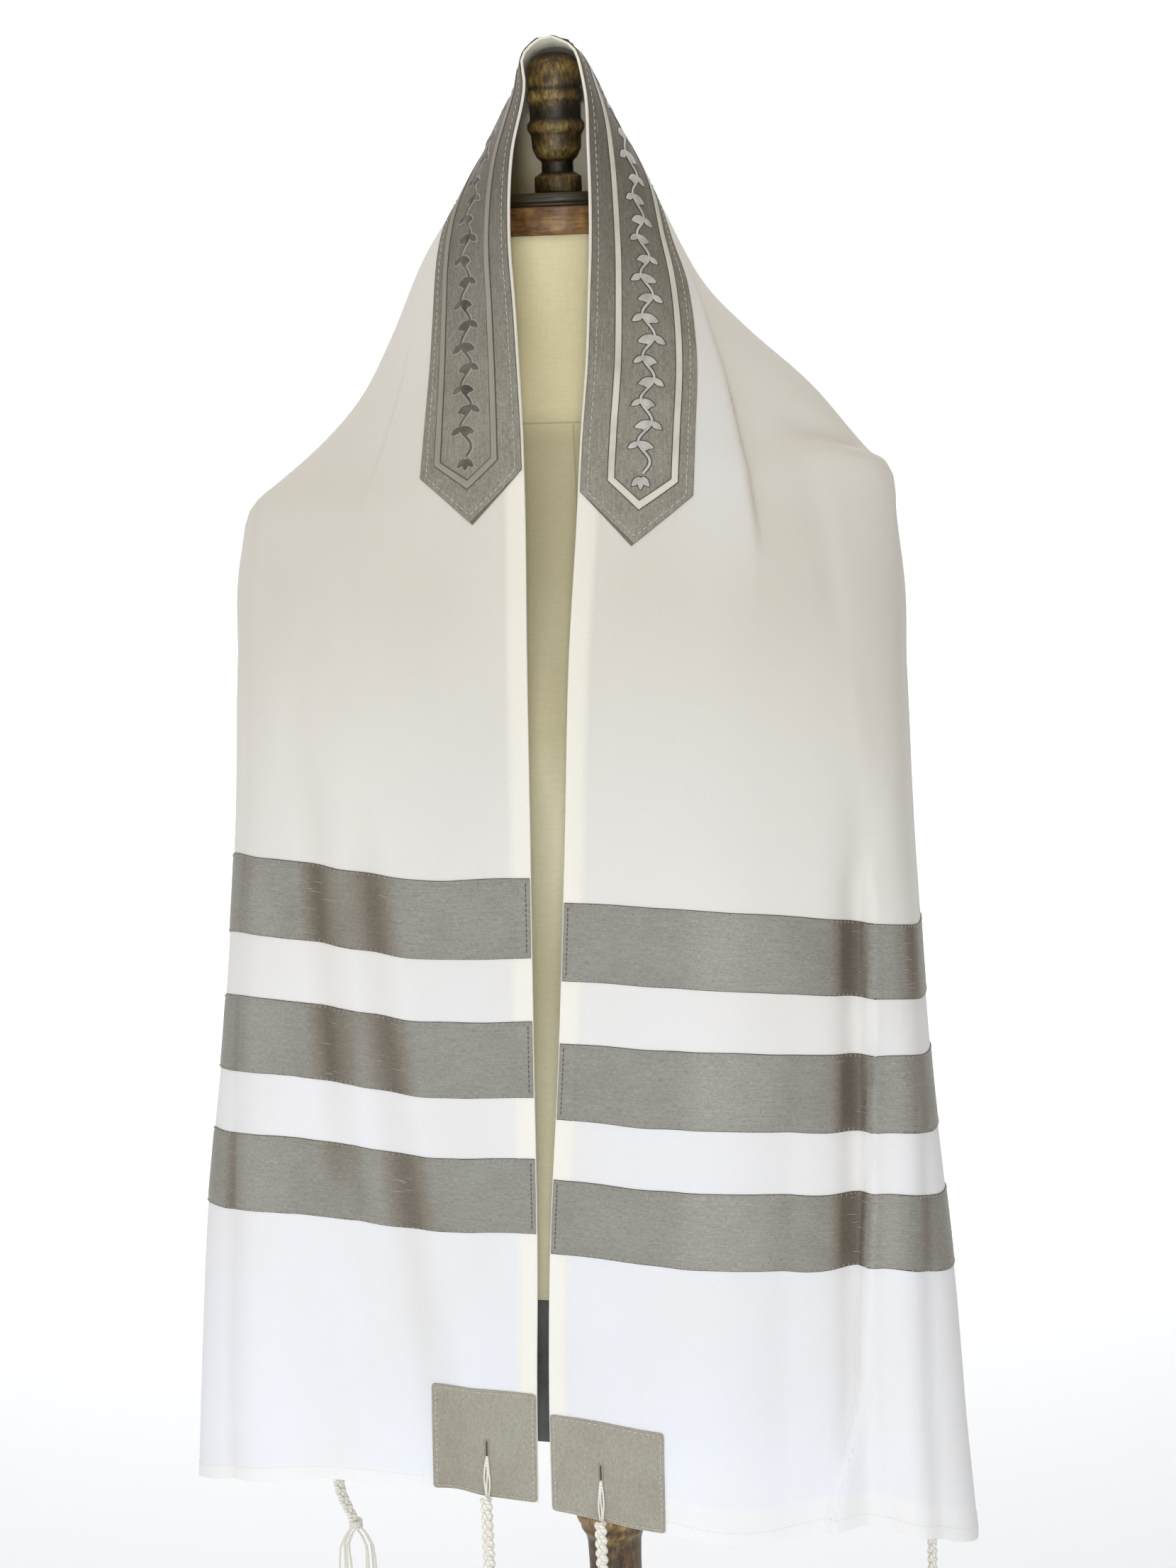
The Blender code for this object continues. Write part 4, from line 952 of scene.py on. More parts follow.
def silk_material(name):
    """Raw silk, with painted shade in the folds and painted highlights on the crests."""
    silk = SILKS[name]
    recipe = Recipe(name, 0.5, 0.4)

    def threads(sizes, along_t):
        slow, fast = sizes
        return recipe.streaks(recipe.cut, (slow, fast, 1.0) if along_t else (fast, slow, 1.0))

    long_t = silk.along == "t"
    fine = recipe.times(threads(FINE_THREADS, long_t), 0.55)
    weave = recipe.sum(fine, recipe.times(threads(CROSS_THREADS, not long_t), 0.45))
    cloudy = recipe.noise(recipe.cut, silk.cloud_scale, 4.0, 0.6)
    body = recipe.mix(recipe.ramp(cloudy, (0.40, 0.0), (0.66, silk.cloud)), silk.base, silk.warm)
    # Painted shade in the folds: warm, and darker in the deepest.
    fold = recipe.attribute("fold_shading")
    body = recipe.mix(recipe.ramp(fold, (0.18, 0.0), (0.62, 0.90)), body, silk.warm)
    body = recipe.mix(recipe.ramp(fold, (0.62, 0.0), (0.95, 0.80)), body, SILK_SHADE)
    # Painted highlight on the crests.
    crest = recipe.ramp(recipe.times(fold, -1.0), (0.10, 0.0), (0.8, 0.45))
    body = recipe.mix(crest, body, silk.shine)
    # Painted shade near the peak of the hood.
    if silk.top_dark:
        reach = recipe.size(recipe.axis(recipe.cut, "Y"))
        peak_shade = recipe.ramp(reach, (0.05, silk.top_dark), (0.26, 0.0))
        body = recipe.mix(peak_shade, body, SILK_SHADE)
    body = recipe.shade(
        body, weave, (0.36, 1.0 - silk.depth), (0.50, 1.0), (0.64, 1.0 + silk.depth)
    )
    lines = threads(LONG_THREADS, long_t)
    recipe.colour(recipe.shade(
        body, lines, (0.34, 1.0 - silk.streak), (0.50, 1.0), (0.66, 1.0 + silk.streak)
    ))
    recipe.link(recipe.ramp(weave, (0.35, 0.58), (0.65, 0.42)), "Roughness")
    recipe.bump(recipe.sum(weave, recipe.times(lines, 0.3)), 0.25, 0.0003)
    recipe.sheen(0.2, 0.4, "c9c4ba")
    return recipe.material


def embroidery_material():
    """Satin stitch with a silvery gleam, and painted light: shaded on the left half, lit on the right.
    """
    recipe = Recipe("embroidery_thread", 0.36, 0.6)
    stitches = recipe.wave(recipe.cut, 620.0, "Y", 0.5)
    tone = recipe.noise(recipe.where, 90.0, 2.0)
    pale = recipe.ramp(tone, (0.35, "b5b3ab"), (0.65, "d0cec7"))
    deep = recipe.ramp(tone, (0.35, "45403a"), (0.65, "6c665b"))
    # Painted light: shaded on the left half, lit on the right.
    body = recipe.mix(recipe.toward_right(0.15), deep, pale)
    recipe.colour(recipe.shade(body, stitches, (0.0, 0.78), (0.6, 1.05)))
    recipe.bump(stitches, 0.4, 0.0003)
    recipe.sheen(0.35, 0.3, "deddd8")
    return recipe.material


def embroidery_shade_edge_material():
    """A thin sheet that edges the embroidery with painted light: a pale highlight on the left half, a
    dark shadow on the right.
    """
    recipe = Recipe("embroidery_shade_edge", 0.5, 0.4)
    strands = recipe.noise(recipe.where, 1400.0, 2.0)
    body = recipe.mix(recipe.toward_right(0.15), "aaa598", "36322a")
    recipe.colour(recipe.shade(body, strands, (0.35, 0.85), (0.7, 1.08)))
    recipe.bump(strands, 0.3, 0.0001)
    return recipe.material


def satin_material():
    """Narrow satin ribbon with fine lengthwise threads, and painted light: dull on the left half, bright
    on the right.
    """
    recipe = Recipe("ribbon_satin", 0.38, 0.5)
    fine = recipe.wave(recipe.cut, 420.0, "X", 0.6)
    patches = recipe.ramp(recipe.noise(recipe.where, 30.0, 3.0), (0.4, 0.0), (0.7, 0.35))
    # Painted light: dull on the left half, bright on the right.
    body = recipe.mix(recipe.toward_right(0.10), "9a978b", "dcd8ca")
    body = recipe.mix(patches, body, "8d897c")
    recipe.colour(recipe.shade(body, fine, (0.0, 0.90), (1.0, 1.04)))
    recipe.bump(fine, 0.15, 0.0001)
    return recipe.material


# Sewing threads: their lit and their shaded colour, mixed at random.  edge_thread and dark_thread also
# draw dark lines of painted shade along pinched edges, and slit_shadow is a painted shadow.
THREADS = {
    "pale_thread": ("ddd8cc", "b7b0a2"),
    "grey_thread": ("c3beb2", "9a9488"),
    "slub_thread": ("b3aea2", "979184"),
    "edge_thread": ("605c53", "4b473f"),
    "dark_thread": ("575249", "433f37"),
    "white_thread": ("efece6", "d4cfc4"),
    "slit_shadow": ("4a443c", "38332c"),
}


def thread_material(name):
    """Sewing thread, twisted, with a soft gleam."""
    lit, shaded = THREADS[name]
    recipe = Recipe(name, 0.5, 0.4)
    strands = recipe.noise(recipe.where, 1400.0, 2.0)
    recipe.colour(recipe.mix(recipe.ramp(strands, (0.35, 0.0), (0.7, 1.0)), shaded, lit))
    recipe.bump(strands, 0.3, 0.0001)
    return recipe.material


def wool_material():
    """Twisted ivory wool cord, with painted shade in the grooves between its plies."""
    recipe = Recipe("tassel_wool", 0.9, 0.2)
    around = recipe.times(recipe.axis(recipe.cut, "X"), 2.0)
    spiral = recipe.sum(around, recipe.times(recipe.axis(recipe.cut, "Y"), 420.0))
    ply = recipe.sum(recipe.times(spiral, 2 * math.pi), 0.0, "SINE")
    fluff = recipe.noise(recipe.where, 900.0, 3.0)
    groove = recipe.ramp(recipe.sum(recipe.times(ply, 0.5), 0.5), (0.0, 0.0), (0.5, 1.0))
    # Painted shade in the grooves between the plies.
    body = recipe.mix(groove, "d9d4c6", "f6f3ea")
    recipe.colour(recipe.shade(body, fluff, (0.3, 0.93), (0.7, 1.0)))
    recipe.bump(recipe.sum(groove, recipe.times(fluff, 0.5)), 0.5, 0.0005)
    recipe.sheen(0.3, 0.5, "ffffff")
    return recipe.material


def linen_material():
    """Cream linen over the form, with its sewn seams and painted shade by height."""
    recipe = Recipe("form_linen", 0.85, 0.25)
    x, y, z = (recipe.axis(recipe.where, letter) for letter in "XYZ")
    upright = recipe.streaks(recipe.where, (1500.0, 1500.0, 90.0))
    level = recipe.streaks(recipe.where, (110.0, 110.0, 1500.0))
    weave = recipe.times(recipe.sum(upright, level), 0.5)
    clouds = recipe.ramp(recipe.noise(recipe.where, 11.0, 3.0), (0.3, 0.0), (0.75, 1.0))
    # Painted shade by height: darker from about 1.15 m up to the yoke seam, lighter above the seam and
    # below 1.05 m.
    body = recipe.shade(
        recipe.mix(clouds, "f3edcd", "ece5c2"), recipe.sum(z, -1.0),
        (0.05, "ffffff"), (0.15, "cfccc4"), (0.346, "d2cfc6"), (0.366, "f7f4ec"),
    )
    body = recipe.shade(body, weave, (0.38, 0.94), (0.62, 1.03))
    drift = recipe.times(recipe.sum(z, -1.30), -0.05)
    middle = recipe.sum(x, recipe.sum(drift, 0.0185), "SUBTRACT")
    below = recipe.sum(1.0, recipe.sum(z, YOKE_SEAM_Z, "GREATER_THAN"), "SUBTRACT")
    upright_seam = recipe.times(recipe.stripe(middle, SEAM_HALF), below)
    yoke_seam = recipe.stripe(recipe.sum(z, -YOKE_SEAM_Z), SEAM_HALF)
    seams = recipe.sum(upright_seam, yoke_seam, "MAXIMUM")
    seams = recipe.sum(seams, recipe.stripe(y, SEAM_HALF), "MAXIMUM")
    recipe.colour(recipe.mix(recipe.times(seams, 0.45), body, "9a9270"))
    recipe.bump(recipe.sum(weave, recipe.times(seams, 2.0), "SUBTRACT"), 0.25, 0.0006)
    recipe.sheen(0.15, 0.5, "e8e2c8")
    return recipe.material


# Antique finishes, from the grooves to the rubbed high places.
WOODS = {
    "turned_wood": ("171106", "46371a", "7f6735", "bfa76c"),
    "post_wood": ("2c2114", "604a2b", "8d7246", "c0a67a"),
    "foot_wood": ("33291b", "59482f", "80683f", "9a8254"),
}
FINIAL_Z = 1.4             # wood above this height is the finial's


def antique_wood_material(name):
    """Turned wood in an antique finish, rubbed back to gold on its high places."""
    recipe = Recipe(name, 0.45, 0.5)
    brushed = recipe.streaks(recipe.where, (520.0, 520.0, 130.0), 4.0, 0.65)
    blotches = recipe.noise(recipe.where, 110.0, 5.0, 0.65)
    patches = recipe.noise(recipe.where, 40.0, 2.0)
    worn = recipe.attribute("worn")
    rubbed = recipe.sum(recipe.times(brushed, 0.35), recipe.times(blotches, 0.35))
    rubbed = recipe.sum(rubbed, recipe.times(patches, 0.30))
    rubbed = recipe.sum(rubbed, recipe.times(worn, 0.050))
    rubbed = recipe.sum(rubbed, recipe.times(recipe.sum(worn, 0.0, "MINIMUM"), 0.060))
    body = recipe.ramp(rubbed, *zip((0.38, 0.49, 0.58, 0.68), WOODS[name]))
    height = recipe.axis(recipe.where, "Z")
    near_cap = recipe.shade(body, recipe.sum(height, -1.0), (0.512, 0.52), (0.532, 1.0))
    recipe.colour(recipe.mix(recipe.sum(height, FINIAL_Z, "GREATER_THAN"), body, near_cap))
    recipe.link(recipe.ramp(brushed, (0.3, 0.40), (0.7, 0.58)), "Roughness")
    recipe.bump(recipe.sum(brushed, blotches), 0.22, 0.0007)
    recipe.coat(0.12, 0.35)
    return recipe.material


def cap_wood_material():
    """Mid-brown wood with level grain and a dark moulded top."""
    recipe = Recipe("cap_wood", 0.45, 0.45)
    grain = recipe.streaks(recipe.where, (60.0, 60.0, 380.0), 5.0, 0.65)
    swirl = recipe.noise(recipe.where, 70.0, 4.0, 0.6)
    both = recipe.sum(recipe.times(grain, 0.45), recipe.times(swirl, 0.55))
    block = recipe.ramp(both, (0.36, "412a13"), (0.50, "73512a"), (0.64, "9f7b4a"))
    recipe.colour(recipe.mix(recipe.attribute("moulded"), block, "2f2714"))
    recipe.bump(grain, 0.25, 0.0004)
    recipe.coat(0.2, 0.25)
    return recipe.material


def base_cloth_material():
    """Dark grey cover under the linen."""
    recipe = Recipe("form_base_cloth", 0.8, 0.3)
    weave = recipe.streaks(recipe.where, (800.0, 800.0, 900.0))
    body = recipe.ramp(recipe.noise(recipe.where, 18.0, 2.0), (0.3, "5c5c58"), (0.7, "767a79"))
    recipe.colour(recipe.shade(body, weave, (0.3, 0.85), (0.7, 1.12)))
    recipe.bump(weave, 0.3, 0.0004)
    return recipe.material


def steel_material():
    """Brushed steel tube."""
    recipe = Recipe("pole_steel", 0.35, 0.5)
    recipe.set({"Metallic": 1.0})
    lines = recipe.streaks(recipe.where, (900.0, 900.0, 12.0), 3.0)
    recipe.colour(recipe.ramp(lines, (0.3, "8a8a8a"), (0.7, "b9b9b7")))
    recipe.link(recipe.ramp(lines, (0.3, 0.28), (0.7, 0.45)), "Roughness")
    return recipe.material


def floor_material():
    """Plain pale studio floor and backdrop."""
    recipe = Recipe("studio_paper", 0.9, 0.1)
    recipe.set({"Base Color": srgb("f2f4f8")})
    return recipe.material


# --------------------------------------------------------------- shawl pieces
ROW_STEP = 0.0068
PATCH_STEP = 0.004
LINE_STEP = 0.003
HEM_STEP = 0.0008          # a close pair of rows or columns makes the hem's edge crisp
COLUMN_RUNS = [
    (0.0, LONG_HEM - HEM_STEP, 0.0062), (LONG_HEM - HEM_STEP, LONG_HEM, HEM_STEP),
    (LONG_HEM, 0.0700, 0.0060), (0.0700, 0.1240, 0.0020), (0.1240, 0.1900, 0.0050),
    (0.1900, 0.2400, 0.0025), (0.2400, SHAWL_WIDTH - LONG_HEM, 0.0062),
    (SHAWL_WIDTH - LONG_HEM, SHAWL_WIDTH - LONG_HEM + HEM_STEP, HEM_STEP),
    (SHAWL_WIDTH - LONG_HEM + HEM_STEP, SHAWL_WIDTH, 0.0062),
]
PADDING = 0.0003


def side_name(side):
    """left or right, for a side of -1 or 1."""
    return "left" if side < 0 else "right"


def band_places(side):
    """Top and bottom of each band on one side, as distances s, lowest first."""
    places = []
    for k in range(BAND_COUNT):
        bottom = half_length(side) - HEM_TO_BAND - k * (BAND_WIDTH + BAND_GAP)
        places.append((bottom - BAND_WIDTH, bottom))
    return places


def every_band():
    """Side, number, top and bottom of each band, numbered from the highest."""
    for side in SIDES:
        for number, (top, bottom) in enumerate(reversed(band_places(side)), start=1):
            yield side, number, top, bottom


Corner = namedtuple("Corner", "name side t_low t_high wide long t_hole")


def corner_list():
    """The four corner squares, and where the hole of each one lies."""
    far = SHAWL_WIDTH - EDGE_RIM
    corners = []
    for side in SIDES:
        edge, long = FRONT_SQUARES[side]
        corners.append(Corner(
            f"front_{side_name(side)}", side, EDGE_RIM, edge, edge - EDGE_RIM, long, HOLE_FROM_EDGE,
        ))
        corners.append(Corner(
            f"back_{side_name(side)}", side, far - CORNER_SQUARE, far, CORNER_SQUARE, CORNER_SQUARE,
            SHAWL_WIDTH - HOLE_FROM_EDGE,
        ))
    return corners


CORNERS = corner_list()


def cloth_columns():
    """The places across the cloth that its mesh and the bands' share."""
    runs = [spaced([low, high], step)[:-1] for low, high, step in COLUMN_RUNS]
    return np.concatenate(runs + [[SHAWL_WIDTH]])


def upright(grids, side):
    """Grids of places in the row order that turns their faces outwards."""
    return [grid if side > 0 else grid[::-1] for grid in grids]


def padding(inset, reach, seam, width, pull):
    """Height of padded silk: it swells within reach and is pulled in at its seam."""
    return PADDING * ease(inset / reach) - pull * bell(inset - seam, width)


def cut_places(obj):
    """The distances s and t of each point of a mesh."""
    cut = np.empty(len(obj.data.loops) * 2, dtype=np.float32)
    obj.data.uv_layers["cut"].data.foreach_get("uv", cut)
    corners = np.empty(len(obj.data.loops), dtype=np.int32)
    obj.data.loops.foreach_get("vertex_index", corners)
    places = np.zeros((len(obj.data.vertices), 2))
    places[corners] = cut.reshape(-1, 2)
    return places[:, 1], places[:, 0]


def store_fold_shading(obj, share=1.0):
    """Store -1 to 1 at each point: how deep in a fold, or high on a crest, it lies, with the painted
    streaks added; materials paint shade from it in the folds and highlights on the crests.
    """
    s, t = cut_places(obj)
    value = -look_up((TABLE_HEIGHT,), s, t)[0][:, 0] / TROUGH_DEPTH
    for dim in SHADE_AND_HIGHLIGHT_STREAKS:
        along = np.clip((np.abs(s) - dim.s_top) / (dim.s_bottom - dim.s_top), 0.0, 1.0)
        middle = dim.t_top + (dim.t_bottom - dim.t_top) * along
        value += (np.sign(s) == dim.side) * dim.depth * bell(t - middle, dim.width)
    store(obj, "fold_shading", share * np.clip(value, -1.0, 1.0))


# The painted shade behind the lap reaches this far.
LAP_SHADE_WIDE = 0.075       # two layers of cloth reach this far behind the lap


def lap_shade_values(obj):
    """0 to 1 at each point: how strong the painted shade is on the cloth behind the lap, where two
    layers lie.
    """
    s, t = cut_places(obj)
    lap = LAPS[0]
    along, across = zip(*lap.line)
    before = np.interp(s, along, across) - t
    fade = ease((s - along[0] + 0.06) / 0.08) * ease((along[-1] + 0.06 - s) / 0.14)
    return ease(before / lap.drop) * ease((LAP_SHADE_WIDE - before) / 0.05) * fade


# How strong the painted shade inside the hood is.
HOOD_SHADE_STRENGTH = 0.90


def hood_shade_values(obj, count):
    """Painted shade inside the hood: how deep each point lies in it; the inner layer is the first count
    points.
    """
    s, t = cut_places(obj)
    reach = np.abs(s)
    deep = ease((t - 0.035) / 0.040) * ease((reach - 0.015) / 0.03) * ease((0.30 - reach) / 0.10)
    deep[count:] = 0.0
    return HOOD_SHADE_STRENGTH * deep


def build_cloth(material):
    """The long white rectangle, hemmed all round."""
    marks = [0.0]
    for side in SIDES:
        half = half_length(side)
        marks += [side * half, side * (half - END_HEM), side * (half - END_HEM - HEM_STEP)]
        for top, bottom in band_places(side):
            marks += [side * top, side * bottom]
    t, s = np.meshgrid(cloth_columns(), spaced(marks, ROW_STEP))
    cloth = shell("shawl_cloth", s, t, -CLOTH_HALF, CLOTH_HALF, material, "white_cloth")
    store(cloth, "lap_shade", lap_shade_values(cloth))
    store_fold_shading(cloth)
    store(cloth, "inside", hood_shade_values(cloth, s.size))
    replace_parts(cloth, "tallit_cloth")
    return cloth


WHIP_STEP = 0.0042         # from one stitch over a band's edge to the next
BAND_EDGE_ROWS = (0.0008, 0.0016, 0.0024, 0.0040)


def build_bands(material):
    """Three grey bands across each half, puckered along their stitched edges."""
    bands = []
    columns = cloth_columns()
    columns[0] = EDGE_RIM
    columns[-1] = SHAWL_WIDTH - EDGE_RIM
    for side, number, top, bottom in every_band():
        rows = set(spaced([top, bottom], ROW_STEP))
        for inset in BAND_EDGE_ROWS:
            rows |= {top + inset, bottom - inset}
        t, s = np.meshgrid(columns, sorted(side * row for row in rows))
        inset = np.minimum(np.abs(s - side * top), np.abs(s - side * bottom))
        pucker = 1 + 0.6 * np.sin(2 * math.pi * t / WHIP_STEP)
        puff = padding(inset, 0.005, 0.0016, 0.0010, 0.00018 * pucker)
        name = f"band_{side_name(side)}_{number}"
        band = shell(f"silk_{name}", s, t, BAND_LOW, BAND_HIGH, material, "grey_silk", puff)
        store_fold_shading(band)
        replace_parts(band, name)
        bands.append(band)
    return bands


def neckband_end(side, extra=0.0):
    """Signed distance s of the neckband's corners on one side, or extra past them."""
    return side * (NECKBAND_HALF + side * SLIDE + extra)


LEAST_SHARE = 0.004        # the neckband's points end this narrow, not at nothing


def build_neckband(material):
    """The grey atarah, with its two pointed ends."""
    marks = [neckband_end(side, extra) for side in SIDES for extra in (0.0, NECKBAND_POINT)]
    s = spaced(marks + [0.0], PATCH_STEP)
    past = np.abs(s) - np.where(s < 0, -1, 1) * SLIDE - NECKBAND_HALF
    keep = np.clip(1 - past / NECKBAND_POINT, LEAST_SHARE, 1.0)
    near = NECKBAND_POINT_T + (NECKBAND_EDGE - NECKBAND_POINT_T) * keep
    far = NECKBAND_POINT_T + (NECKBAND_FAR - NECKBAND_POINT_T) * keep
    share = spaced([0.0, 0.05, 0.95, 1.0], 0.05)
    grid_t = near[:, None] + (far - near)[:, None] * share[None, :]
    grid_s = np.repeat(s[:, None], len(share), axis=1)
    inset = np.minimum(share, 1 - share)[None, :] * (far - near)[:, None]
    puff = padding(inset, 0.006, 0.0045, 0.0012, 0.0003)
    neckband = shell(
        "neckband", grid_s, grid_t, PATCH_LOW, PATCH_HIGH, material, "neckband_silk", puff
    )
    store_fold_shading(neckband, 0.6)
    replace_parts(neckband, "atarah")
    return neckband


def ribbon_line(t_near, t_far, turn, tip):
    """A closed line of (s, t) places round the neckband, pointed at both ends."""
    (left, right), (left_tip, right_tip) = (
        [neckband_end(side, extra) for side in SIDES] for extra in (turn, tip)
    )
    return [
        (left, t_near), (right, t_near), (right_tip, RIBBON_POINT_T),
        (right, t_far), (left, t_far), (left_tip, RIBBON_POINT_T), (left, t_near),
    ]


RIBBON_EDGES = (
    ribbon_line(RIBBON_INNER, RIBBON_OUTER + RIBBON_WIDTH, RIBBON_TURN, RIBBON_TIP),
    ribbon_line(
        RIBBON_INNER + RIBBON_WIDTH, RIBBON_OUTER,
        RIBBON_TURN - RIBBON_WIDTH * 0.42, RIBBON_TIP - RIBBON_WIDTH * 1.38,
    ),
)
# Across the ribbon: share of its width, and of its height.
RIBBON_PROFILE = np.array([(0.0, 0.0), (0.10, 1.0), (0.35, 1.1), (0.65, 1.1), (0.90, 1.0), (1.0, 0.0)])


def build_ribbon(material):
    """The satin ribbon sewn round the neckband as one closed outline."""
    outer, inner = RIBBON_EDGES
    share, height = RIBBON_PROFILE.T
    rings = []
    for k in range(len(outer) - 1):
        run = dense(outer[k:k + 2], PATCH_STEP)
        across = np.linspace(inner[k], inner[k + 1], len(run))
        rings += list(zip(run, across))[:-1]
    points = []
    cuts = []
    for p, q in rings:
        s = p[0] + (q[0] - p[0]) * share
        t = p[1] + (q[1] - p[1]) * share
        points.append(over_hems(s, t, RIBBON_BASE + height * RIBBON_HEIGHT)[0])
        cuts.append(np.stack([t, s], axis=-1))
    width = len(share)
    faces = []
    for i in range(len(rings)):
        a = i * width
        n = (i + 1) % len(rings) * width
        for j in range(width - 1):
            faces.append((a + j, n + j, n + j + 1, a + j + 1))
        faces.append((a + width - 1, n + width - 1, n, a))
    shape = Shape()
    shape.add(np.concatenate(points), faces, np.concatenate(cuts))
    ribbon = shape.finish("neckband_ribbon", material, "ribbon_satin")
    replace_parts(ribbon, "atarah_ribbon")
    return ribbon


def build_squares(material):
    """A reinforcing square with rounded corners on each corner."""
    squares = []
    share = spaced([0.0, 0.02, 0.06, 0.94, 0.98, 1.0], 0.05)
    near = spaced([0.0, 0.0002, 0.0007, 0.0015, SQUARE_ROUND], PATCH_STEP)
    for corner in CORNERS:
        end = half_length(corner.side) - EDGE_RIM
        long = corner.long
        rest = spaced([SQUARE_ROUND, long - SQUARE_ROUND], PATCH_STEP)[1:-1]
        depth = np.concatenate([near, rest, long - near[::-1]])
        short = np.maximum(SQUARE_ROUND - np.minimum(depth, long - depth), 0.0)
        trim = SQUARE_ROUND - np.sqrt(np.maximum(SQUARE_ROUND**2 - short**2, 0.0))
        half = (corner.t_high - corner.t_low) / 2 - trim
        grid_t = (corner.t_low + corner.t_high) / 2 + half[:, None] * (2 * share[None, :] - 1)
        grid_s = np.repeat((corner.side * (end - long + depth))[:, None], len(share), axis=1)
        s, t = upright((grid_s, grid_t), corner.side)
        across = np.minimum(t - corner.t_low, corner.t_high - t)
        down = np.minimum(end - np.abs(s), np.abs(s) - end + long)
        puff = padding(np.minimum(across, down), 0.005, SQUARE_SEAM, 0.0009, 0.00035)
        square = shell(
            f"corner_square_{corner.name}", s, t, PATCH_LOW, PATCH_HIGH, material, "grey_silk", puff
        )
        store_fold_shading(square, 0.3)
        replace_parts(square, f"corner_{corner.name}")
        squares.append(square)
    return squares


HOLE_HALF = 0.0007
HOLE_STITCH_STEP = 0.00085
HOLE_STITCH_RADIUS = 0.00026
SLIT_THICKNESS = 0.00042


def build_buttonhole(corner, thread, shadow):
    """A worked slit for the tassel: a dark sheet of painted shadow for the opening, and stitches all
    round it.
    """
    side = corner.side
    top = half_length(side) - HOLE_FROM_HEM
    rows = np.linspace(top, top + HOLE_LENGTH, 12)
    along = (rows - top) / HOLE_LENGTH
    wide = HOLE_HALF * np.sqrt(np.maximum(1 - (2 * along - 1) ** 2, 0.02))
    share = np.linspace(-1.0, 1.0, 5)
    grid_s = np.repeat((side * rows)[:, None], len(share), axis=1)
    grid_t = corner.t_hole + wide[:, None] * share[None, :]
    s, t = upright((grid_s, grid_t), side)
    slit = shell(
        f"slit_{corner.name}", s, t, PATCH_HIGH, PATCH_HIGH + SLIT_THICKNESS, shadow, "grey_silk"
    )
    beside = np.arange(top - 0.0008, top + HOLE_LENGTH + 0.0009, HOLE_STITCH_STEP)
    stitches = Shape()
    for edge in SIDES:
        for k, row in enumerate(beside):
            jitter = 0.0003 * math.sin(5.1 * k + edge)
            s = side * np.array([row, row + jitter])
            t = corner.t_hole + edge * np.array([0.0005, 0.0016 + abs(jitter)])
            ends, normals = above(s, t, PATCH_HIGH + 0.0006)
            thread_into(stitches, ends, normals[0], HOLE_STITCH_RADIUS, 0.0002)
    return [slit, stitches.finish(f"buttonhole_{corner.name}", thread, "tassel_wool")]


DOWN = np.array([0.0, 0.0, -1.0])


def plait_path(cord, length, start, sideways, forward):
    """The line of one of the three cords of a plait hanging from a point."""
    down = np.linspace(0.0, length, max(24, int(length / 0.0012)))
    phase = 2 * math.pi * (down / PLAIT_PITCH + cord / CORDS)
    taper = 1 - 0.25 * ease((down - length + 0.02) / 0.02)
    swing = PLAIT_SWING * np.sin(phase) * taper
    depth = PLAIT_DEPTH * np.sin(2 * phase) * taper
    return start + np.outer(down, DOWN) + np.outer(swing, sideways) + np.outer(depth, forward)


# The loop that ties a tassel on: how far each cord lies beside the hole, what
# share of that each of its points has, and their heights, in 0.1 mm.
LOOP_BESIDE = (-0.0015, 0.0, 0.0015)
LOOP_SWING = np.array([0.2, 0.7, 1.0, 1.0, 1.0, 1.0, 0.95, 0.9, 0.8])
LOOP_RISE = np.array([0, 9, 11, 11, 11, 11, 11, 11, 12])
KNOT_TURNS = 3.2
KNOT_HALF = 0.0035
KNOT_WIDE = 0.0042
KNOT_DEEP = 0.0036
KNOT_CORD = 0.0013
STRAND_ROOT = 0.0022       # how far from the knot's middle the loose ends start
STRAND_SPREAD = 0.0042
STRAND_SWAY = 0.004


def loop_into(shape, corner):
    """The cords from a corner's hole over its square to the hem."""
    end = half_length(corner.side)
    rows = np.linspace(end - HOLE_FROM_HEM + HOLE_LENGTH - 0.001, end - 0.0005, len(LOOP_SWING))
    for number, beside in enumerate(LOOP_BESIDE):
        t = corner.t_hole + beside * LOOP_SWING
        t = t + 0.0004 * np.sin(np.arange(len(rows)) * 0.9 + number * 2.0)
        rise = PATCH_HIGH + HEM_LIFT + LOOP_RISE * 0.0001
        tube_into(shape, above(corner.side * rows, t, rise)[0], LOOP_RADIUS, 8, 60.0)


